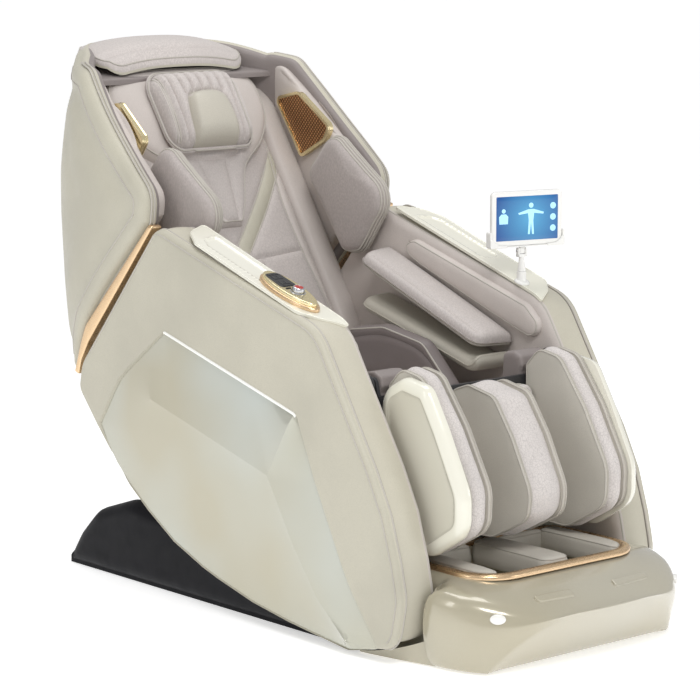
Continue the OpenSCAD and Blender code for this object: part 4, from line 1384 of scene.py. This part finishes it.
def foot_box():
    front = curve_through(FOOT_CURVE, step=7)
    half = np.vstack([rounded([(0, -406, 0), (272, -406, 4), (272, -608, 14), (333, -612, 6),
                               (0, -700, 0)])[1:-1], front])
    plan = np.vstack([half, (half * (-1, 1))[::-1][1:]])
    wells = []
    for s in (1, -1):
        wells.append(anticlockwise(resample(rounded([(x * s, y, r) for x, y, r in WELL]), 7)))
    ring_edge = anticlockwise(resample(rounded([(240, -420, 50), (240, -712, 86), (-240, -712, 86),
                                                (-240, -420, 50)]), 8))

    def place(u, v, w):
        p = np.column_stack([u, v])
        off = np.where(inside(p, ring_edge), 0, distance(p, ring_edge))
        nose = np.clip((-v - 640) / 200, 0, 1)
        top = 188 - 30 * nose ** 1.6 - 0.14 * off - 0.0011 * off ** 2
        low = 4 + np.clip((-v - 752) / 88, 0, 1.05) * 118
        t = (w + 180) / 180
        z = low + (top - low) * np.clip(t, 0, 1) + np.where(t > 1, w, 0)
        tuck = 1 - 0.045 * (1 - np.clip(t, 0, 1)) ** 2
        return np.column_stack([u * np.where(np.abs(u) > 150, tuck, 1), v, z]) * MM

    def relief(p, away):
        deep = 0
        for well in wells:
            d = distance(p, well)
            deep = deep + np.where(inside(p, well), np.clip(d / 7, 0, 1), 0)
        return -155 * deep

    shell = panel("foot_shell", plan, place, 0, -180, rim=26, back_rim=8, relief=relief, spacing=10, crown=7,
                  folds=[looped(w) for w in wells], rows=9, step=7,
                  materials=[CHAMPAGNE], sharp=60)
    skirt_line = rounded(SKIRT_HALF + [(-x, y, r) for x, y, r in SKIRT_HALF[::-1]])

    def skirt_place(u, v, w):
        arc = 570 - np.sqrt(567.5 ** 2 - np.minimum(v + 370, 0) ** 2)
        return np.column_stack([u, v, 3.1 + (arc - 3.3) * w]) * MM

    skirt = panel("foot_skirt", skirt_line, skirt_place, 1, 0, rim=0, spacing=16, rows=2,
                  materials=[CHAMPAGNE], sharp=60)
    parts = [shell, skirt]
    for s in (1, -1):
        for radius, top_z in ((9, 424), (13.5, 84)):
            circle = np.array([(s * 110 + radius * math.cos(a), -372 + radius * math.sin(a))
                               for a in np.linspace(0, 2 * math.pi, 30)[:-1]])
            parts.append(panel("slide", circle, upright, top_z, 24, rim=1, back_rim=1, spacing=6, rows=3,
                               step=2,
                               materials=[STEEL]))
        lug = rounded([(s * 98, -412, 2), (s * 122, -412, 2), (s * 122, -376, 2), (s * 98, -376, 2)])
        parts.append(panel("lug", lug, upright, 80, 28, rim=1, spacing=8, rows=2, materials=[STEEL]))
    shell = join("foot_shell", *parts)
    finish_piece(shell, "foot_box", "pearl_shell", "foot_shell")

    ring_line = resample(rounded([(233, -428, 44), (233, -705, 80), (-233, -705, 80), (-233, -428, 44)]), 8)
    ring = ring_strip("foot_ring", ring_line, upright, 188.3,
                      [(-13, -3), (-13.5, 3), (-11, 6.5), (-4, 8.6), (4, 8.6), (11, 6.0), (13.5, 2.5),
                       (13, -3)], GOLD)
    finish_piece(ring, "foot_box", "gold_trim", "foot_ring")
    pads = [("foot_pad_middle", [(-38, -440, 26), (38, -440, 26), (42, -690, 30), (-42, -690, 30)], 206, 150)]
    for name, s in SIDES:
        pads.append(("foot_pad_" + name, [(s * 166, -446, 26), (s * 219, -440, 30), (s * 219, -694, 50),
                                         (s * 172, -690, 30)], 203, 150))
        pads.append(("foot_heel_" + name, [(s * 40, -432, 12), (s * 190, -432, 20), (s * 186, -462, 16),
                                          (s * 44, -462, 16)], 197, 150))
    for name, corners, top, low in pads:
        line = rounded(corners)
        pad = panel(name, line, upright, top - 8, low, rim=12, back_rim=4, puff=8, spacing=7, crown=2, rows=3,
                    materials=[CALF])
        pad = piped(pad, upright, [shrink(resample(line, 5), 4)], 260, 1.6, closed=True)
        finish_piece(pad, "foot_box", "calf_leather", pad=0.8)
    for name, s in SIDES:
        def lamp_place(u, v, w, s=s):
            n = np.array([s * LAMP_WAY[0], LAMP_WAY[1], LAMP_WAY[2]])
            n /= np.linalg.norm(n)
            t = np.array([-LAMP_WAY[1], s * LAMP_WAY[0], 0.0])
            t /= np.linalg.norm(t)
            up = np.cross(n, t)
            up = up if up[2] > 0 else -up
            centre = np.array([s * LAMP_AT[0], LAMP_AT[1], LAMP_AT[2]])
            return (centre + u[:, None] * t + v[:, None] * up + w[:, None] * n) * MM

        oval = np.array([(17 * math.cos(a), 11 * math.sin(a)) for a in np.linspace(0, 2 * math.pi, 40)[:-1]])
        lamp = panel("foot_lamp_" + name, oval, lamp_place, 2, -8, rim=2.5, puff=2, spacing=4, rows=1, step=3,
                     materials=[WHITE_GLOSS])
        finish_piece(lamp, "foot_box", "pearl_shell")
        bar_line = rounded([(s * 60, -800, 5), (s * 166, -796, 5), (s * 168, -779, 5), (s * 64, -782, 4)])
        bar = panel("foot_bar_" + name, bar_line, place, 5, -6, rim=3, spacing=5, rows=1, step=4,
                    materials=[CHAMPAGNE])
        finish_piece(bar, "foot_box", "pearl_shell")


foot_box()


# ---------------------------------------------------------------- controls and tablet

def lathe(name, profile, place, materials, bands=None, turns=48, grip=0.0, grip_from=0, grip_to=0):
    """A turned piece: profile is (radius, height) from the foot to the top, and place takes (u, v, w)."""
    local, faces, kinds = [], [], []
    for i, (r, h) in enumerate(profile):
        for k in range(turns):
            a = 2 * math.pi * k / turns
            rr = r + (grip if (k % 2 and grip_from < h < grip_to) else 0)
            local.append((rr * math.cos(a), rr * math.sin(a), h))
    for i in range(len(profile) - 1):
        for k in range(turns):
            a, b = i * turns + k, i * turns + (k + 1) % turns
            faces.append((a, b, b + turns, a + turns))
            kinds.append(bands[i] if bands else 0)
    faces.append(tuple(range(turns))[::-1])
    faces.append(tuple(len(local) - turns + k for k in range(turns)))
    kinds += [0, bands[-1] if bands else 0]
    local = np.array(local)
    return to_object(name, place(local[:, 0], local[:, 1], local[:, 2]), faces, materials, kinds, sharp=35)


def leaf(half_width, front, rear):
    """A leaf-shaped outline: round at the rear and pointed towards the front."""
    points = []
    for a in np.linspace(-math.pi / 2, math.pi / 2, 28):
        points.append((half_width * math.cos(a) * (1 + 0.08 * math.sin(a)),
                       (front + rear + (rear - front) * math.sin(a)) / 2))
    points = np.array(points)
    return np.vstack([points, points[::-1][1:-1] * (-1, 1)])


def control_pod():
    def place(u, v, w):
        return on_arm(u - 334, v + 130, w + 6.3)

    foot = panel("pod_foot", leaf(37, -100, 96), place, 9, 0, rim=5, spacing=6, rows=1, step=4,
                 materials=[GOLD])
    top = panel("pod_top", leaf(32, -90, 90), place, 16, 8, rim=4, relief=lambda p,
                d: 1.0 * np.exp(-(d / 3) ** 2),
                spacing=5, rows=1, step=4, materials=[PALE_GOLD])
    face = panel("pod_face", rounded([(-22, 4, 9), (22, 4, 9), (20, 74, 12), (-20, 74, 12)]), place, 17.2, 12,
                 rim=1.5, spacing=5, rows=1, step=4, materials=[BLACK])
    small = []
    for row, y in enumerate((8, 64)):
        for x in (-11, 0, 11):
            dot = panel("dot%d%d" % (row, x), rounded([(x - 4, y - 2, 2), (x + 4, y - 2, 2),
                                                       (x + 4, y + 3.5, 2),
                                                       (x - 4, y + 3.5, 2)]), place, 18.2, 15, rim=0.9,
                                                       spacing=3,
                        rows=1, step=2, materials=[BLACK])
            small.append(dot)
    for x, y in ((-9, 0), (9, 0)):
        small.append(panel("bar%d" % x, rounded([(x - 7, y - 6, 2), (x + 7, y - 6, 2), (x + 7, y - 1, 2),
                                                 (x - 7, y - 1, 2)]), place, 17.6, 15, rim=0.9, spacing=3,
                                                 rows=1,
                           step=2, materials=[BLACK]))
    collar = lathe("pod_collar", [(17.5, 15.5), (17.5, 17), (16, 18), (15.3, 17.2), (15.3, 15.5)],
                   lambda u, v, w: place(u, v - 26, w), [STEEL])
    pod = join("control_pod_body", foot, top, face, collar, *small)
    finish_piece(pod, "seat", "gold_trim", "control_pod")
    knob = lathe("control_knob_cap", [(4, 9), (4, 16.5), (14, 16.6), (14.2, 18), (13.4, 26.5), (12.2, 28.2),
                                      (10.6, 28.8), (10.2, 28.2), (6, 28.6), (1, 29.2)],
                 lambda u, v, w: place(u, v - 26, w), [STEEL, RED], [0, 0, 0, 0, 0, 0, 0, 1, 1, 1], grip=0.45,
                 grip_from=17, grip_to=27)
    finish_piece(knob, "knob", "knob_metal", "control_knob")
    for key, y in (("a", 14), ("b", 40)):
        parts = []
        for x in (-6.9, 6.9):
            parts.append(panel("cap%s%d" % (key, x), rounded([(x - 6, y + 1, 2.5), (x + 6, y + 1, 2.5),
                                                            (x + 6, y + 19, 2.5), (x - 6, y + 19, 2.5)]),
                                                            place,
                               18.4, 15.6, rim=1.4, relief=lambda p, d: -0.5 * np.clip(d / 5, 0, 1),
                               spacing=3,
                               rows=1, step=2.5, materials=[BLACK]))
        parts.append(panel("stem" + key, rounded([(-13.2, y + 1, 1), (13.2, y + 1, 1), (13.2, y + 19, 1),
                                                  (-13.2, y + 19, 1)]), place, 16.2, 14, rim=0.5, spacing=5,
                                                  rows=1,
                           materials=[BLACK]))
        caps = join("control_keys_" + key, *parts)
        finish_piece(caps, "key_" + key, "black_plastic", "control_key_" + key)


TABLET_YAW = math.radians(-15)
TABLET_FOOT = (302, -252.5, 721.7)


def tablet_place(u, v, w):
    """u is across the tablet, v is up and w stands out of its screen."""
    c, s = math.cos(TABLET_YAW), math.sin(TABLET_YAW)
    x, y = u, -w
    return np.column_stack([TABLET_FOOT[0] + x * c - y * s, TABLET_FOOT[1] + x * s + y * c,
                            TABLET_FOOT[2] + v]) * MM


def screen_place(u, v, w):
    """The tablet sits a little to one side of its pole."""
    return tablet_place(u + 10, v, w)


def glow(name, colour, strength):
    s = Shade(name, colour, 0.12, Coat_Weight=0.6, Coat_Roughness=0.03)
    s.shader.inputs["Emission Color"].default_value = (*colour, 1)
    s.shader.inputs["Emission Strength"].default_value = strength
    s.bump(s.cells(2600), 0.01, 0.2)
    return s


def screen_material():
    s = glow("screen_blue", (0.0, 0.15, 0.40), 0.35)
    spot = s.node("ShaderNodeVectorMath", operation="DISTANCE")
    centre = screen_place(np.array([8.0]), np.array([157.0]), np.array([7.0]))[0]
    spot.inputs[1].default_value = tuple(centre)
    s.link(s.where, spot.inputs[0])
    fade = s.ramp(spot.outputs["Value"], 0.0, 0.095)
    shade = s.mix(fade, (0.06, 0.30, 0.52), (0.002, 0.06, 0.24))
    s.colour(shade)
    s.link(shade, s.shader.inputs["Emission Color"])
    return s.material


def tablet():
    half_w, half_h, mid = 92.5, 63, 156.2
    frame_line = rounded([(-half_w, mid - half_h, 10), (half_w, mid - half_h, 10), (half_w, mid + half_h, 10),
                          (-half_w, mid + half_h, 10)])
    view = resample(rounded([(-82, mid - 52, 3), (82, mid - 52, 3), (82, mid + 52, 3), (-82, mid + 52, 3)]),
                    8)

    def relief(p, away):
        d = distance(p, view)
        return -0.8 * np.where(inside(p, view), np.clip(d / 0.8, 0, 1), 0)

    case = panel("tablet_case", frame_line, screen_place, 7, -5, rim=2.5, back_rim=3, relief=relief,
                 spacing=12,
                 folds=[looped(view)], rows=2, materials=[WHITE_GLOSS])
    glass = panel("tablet_glass", shrink(view, 0.6), screen_place, 6.9, 5.6, rim=0.4, spacing=14, rows=1,
                  materials=[screen_material()])
    white = glow("screen_icon", (0.36, 0.66, 0.82), 0.5).material
    shapes = []

    def patch(name, line, high=7.25):
        shapes.append(panel(name, np.array(line, float), screen_place, high, 6.7, rim=0, spacing=5, rows=1,
                            step=3,
                            materials=[white]))

    def disc(x, z, r):
        return [(x + r * math.cos(a), z + r * math.sin(a)) for a in np.linspace(0, 2 * math.pi, 22)[:-1]]

    patch("figure_head", disc(10, mid + 29, 6))
    patch("figure_body", [(3, mid + 20), (-24, mid + 12), (-22, mid + 8), (2, mid + 11), (4, mid - 6),
                          (2, mid - 38),
                          (7, mid - 38), (10, mid - 10), (13, mid - 38), (18, mid - 38), (16, mid - 6),
                          (18, mid + 11),
                          (42, mid + 8), (44, mid + 12), (17, mid + 20)])
    patch("torso_head", disc(-62, mid + 18, 5))
    patch("torso", [(-73, mid - 12), (-51, mid - 12), (-50, mid + 5), (-56, mid + 11), (-68, mid + 11),
                    (-74, mid + 5)])
    for k, z in enumerate((26, 0, -26)):
        patch("icon%d" % k, disc(68, mid + z, 7.5))
    screen = join("tablet_body", case, glass, *shapes)
    finish_piece(screen, "tablet_holder", "screen", "tablet")
    clip_x = 93
    parts = [panel("ledge", rounded([(-clip_x - 5, 90, 2), (clip_x + 5, 90, 2), (clip_x + 5, 93, 1),
                                     (-clip_x - 5, 93, 1)]), screen_place, 9, -10, rim=1, spacing=9, rows=1,
                                     step=5,
                   materials=[WHITE_GLOSS]),
             panel("back_plate", rounded([(-60, 90, 4), (60, 90, 4), (46, 137, 12), (-46, 137, 12)]),
                   screen_place,
                   -5.4, -10, rim=1, spacing=9, rows=1, materials=[WHITE_GLOSS])]
    for s in (-1, 1):
        line = rounded([(s * (clip_x + 5), 89, 3), (s * (clip_x + 5), 125, 3), (s * (clip_x + 0.4), 127, 2),
                        (s * (clip_x + 0.4), 89, 0.5)])
        parts.append(panel("clip%d" % s, line, screen_place, 9.8, -10, rim=1, spacing=5, rows=1, step=4,
                           materials=[WHITE_GLOSS]))
        lip = rounded([(s * (clip_x + 5), 89, 3), (s * (clip_x + 5), 121, 4), (s * (clip_x - 6), 104, 6),
                       (s * (clip_x - 16), 97, 4), (s * (clip_x - 40), 94.5, 2), (s * (clip_x - 40), 89, 2)])
        parts.append(panel("lip%d" % s, lip, screen_place, 11.2, 7.6, rim=1.2, spacing=4, rows=1, step=3,
                           materials=[WHITE_GLOSS]))

    def on_pole(u, v, w):
        return tablet_place(u, w, -v)

    parts.append(panel("ear", rounded([(-6.4, -4, 1), (6.4, -4, 1), (6.4, 4, 1), (-6.4, 4, 1)]), on_pole, 91,
                       74.5,
                       rim=0.8, spacing=4, rows=1, step=3, materials=[WHITE_GLOSS]))

    def across(u, v, w):
        return tablet_place(w, 80 + v, u)

    parts.append(panel("pin", np.array(disc(0, 0, 2.93)), across, 14, -14, rim=0.6, spacing=2, rows=1, step=1,
                       materials=[STEEL]))
    cradle = join("tablet_holder_cradle", *parts)
    finish_piece(cradle, "tablet_holder", "white_plastic", "tablet_cradle")

    pole = lathe("pole", [(6, 16.6), (6, 32.4), (9.5, 32.6), (9.6, 36), (8.4, 44), (7.2, 54), (6.4, 62),
                          (6.2, 67.4)],
                 on_pole, [WHITE_GLOSS], turns=32)
    fork = [panel("fork%d" % s, rounded([(s * 12, -6, 2), (s * 12, 6, 2), (s * 7.2, 6, 0.5),
                                         (s * 7.2, -6, 0.5)]), on_pole,
                  87, 67, rim=1, spacing=3, rows=1, step=2, materials=[WHITE_GLOSS]) for s in (-1, 1)]
    bridge = panel("bridge", rounded([(-12, -6, 2), (12, -6, 2), (12, 6, 2), (-12, 6, 2)]), on_pole, 73, 66,
                   rim=1,
                   spacing=4, rows=1, step=3, materials=[WHITE_GLOSS])
    stand = join("tablet_pole_stand", pole, bridge, *fork)
    finish_piece(stand, "tablet_stand", "white_plastic", "tablet_pole")

    def plate(u, v, w):
        return on_arm(302 + u, 50 + v, w + 6.3)

    flare = lathe("flare", [(18, 0), (18, 2), (16.5, 4.4), (13, 6.5)], plate, [WHITE_GLOSS], turns=40)
    neck = lathe("neck", [(13.4, 7), (11.6, 14), (11, 20), (11, 31), (10, 32), (6.2, 32)], on_pole,
                 [WHITE_GLOSS],
                 turns=40)
    foot = join("tablet_foot_flare", flare, neck)
    finish_piece(foot, "seat", "white_plastic", "tablet_foot")


control_pod()
tablet()


# ---------------------------------------------------------------- base, mechanism, floor, light and camera

def plain_nodes():
    """Materials for the CAD nodes that stay as they are."""
    table = {"base_frame": FRAME_PAINT, "base_feet": RUBBER, "glide_rails": STEEL, "power_inlet": BLACK,
             "power_switch": RED, "glide_actuator": MOTOR_PAINT, "transport_wheels": RUBBER,
             "glide_carriage": FRAME_PAINT, "glide_rod": STEEL, "tilt_jack": MOTOR_PAINT, "tilt_rod": STEEL,
             "seat_frame": FRAME_PAINT, "leg_motors": MOTOR_PAINT, "control_box": BLACK,
             "back_actuator": MOTOR_PAINT,
             "back_actuator_rod": STEEL, "back_frame": FRAME_PAINT, "track_rails": STEEL,
             "massage_carriage": MOTOR_PAINT, "roller_arms": STEEL, "upper_rollers": ROLLER,
             "lower_rollers": ROLLER,
             "calf_frame": FRAME_PAINT, "sole_roller_front": ROLLER, "sole_roller_rear": ROLLER,
             "base_shell": BASE_BLACK}
    for node, material in table.items():
        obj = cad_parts[node]
        obj.data.materials.clear()
        obj.data.materials.append(material)


plain_nodes()


CHEEK_OUT, CHEEK_IN = 346, 316


def base_sides():
    """Rounded black cheeks on the base cover's flanks."""
    outline = [(658, 4, 6), (650, 34, 60), (612, 86, 80), (545, 150, 90), (400, 198, 110), (250, 180, 120),
               (-50, 112, 90),
               (-300, 70, 40), (-354, 36, 14), (-354, 4, 6)]
    for name, sign in SIDES:
        cheek = panel("base_side_" + name, rounded(outline), side_of(sign), CHEEK_OUT, CHEEK_IN, rim=28,
                      back_rim=4,
                      puff=4, spacing=12, rows=2, materials=[BASE_BLACK])
        finish_piece(cheek, "base", "base_plastic")


base_sides()


FLOOR_HALF = 200.0
CAMERA_AT = (-4.30598, -4.97612, 1.65104)
CAMERA_WAY = (0.6454, 0.7465, -0.1621)


def floor():
    mesh = bpy.data.meshes.new("floor")
    s = FLOOR_HALF
    mesh.from_pydata([(-s, -s, 0), (s, -s, 0), (s, s, 0), (-s, s, 0)], [], [(0, 1, 2, 3)])
    obj = bpy.data.objects.new("floor", mesh)
    bpy.context.scene.collection.objects.link(obj)
    paper = Shade("floor_paper", (0.93, 0.93, 0.93), 0.6)
    paper.shader.inputs["Emission Color"].default_value = (1, 1, 1, 1)
    paper.shader.inputs["Emission Strength"].default_value = 0.50
    paper.bump(paper.noise(300, 2), 0.05, 0.1)
    mesh.materials.append(paper.material)


def area(name, where, at, size, power, colour=(1, 1, 1)):
    light = bpy.data.lights.new(name, "AREA")
    light.shape = "RECTANGLE"
    light.size, light.size_y = size
    light.energy = power
    light.color = colour
    obj = bpy.data.objects.new(name, light)
    bpy.context.scene.collection.objects.link(obj)
    obj.location = where
    obj.rotation_euler = (Vector(at) - Vector(where)).to_track_quat("-Z", "Y").to_euler()


def studio():
    world = bpy.data.worlds.new("studio")
    bpy.context.scene.world = world
    world.use_nodes = True
    world.node_tree.nodes["Background"].inputs["Color"].default_value = (1, 1, 1, 1)
    world.node_tree.nodes["Background"].inputs["Strength"].default_value = 0.55
    area("key", (-1.6, -2.6, 3.6), (0, 0, 0.6), (1.6, 1.2), 60)
    area("side", (-4.2, 0.2, 2.6), (0, 0, 0.6), (0.5, 2.6), 16)
    area("top", (0.3, 0.6, 4.0), (0, 0, 0.5), (1.8, 1.8), 36)
    area("fill", (2.4, -4.2, 1.6), (0, 0, 0.5), (0.8, 1.6), 14)
    data = bpy.data.cameras.new("camera")
    data.lens = 147.8
    data.sensor_width = 36
    data.clip_end = 100
    camera = bpy.data.objects.new("camera", data)
    bpy.context.scene.collection.objects.link(camera)
    camera.location = CAMERA_AT
    camera.rotation_euler = Vector(CAMERA_WAY).to_track_quat("-Z", "Y").to_euler()
    bpy.context.scene.camera = camera
    bpy.context.scene.view_settings.view_transform = "Standard"


floor()
studio()
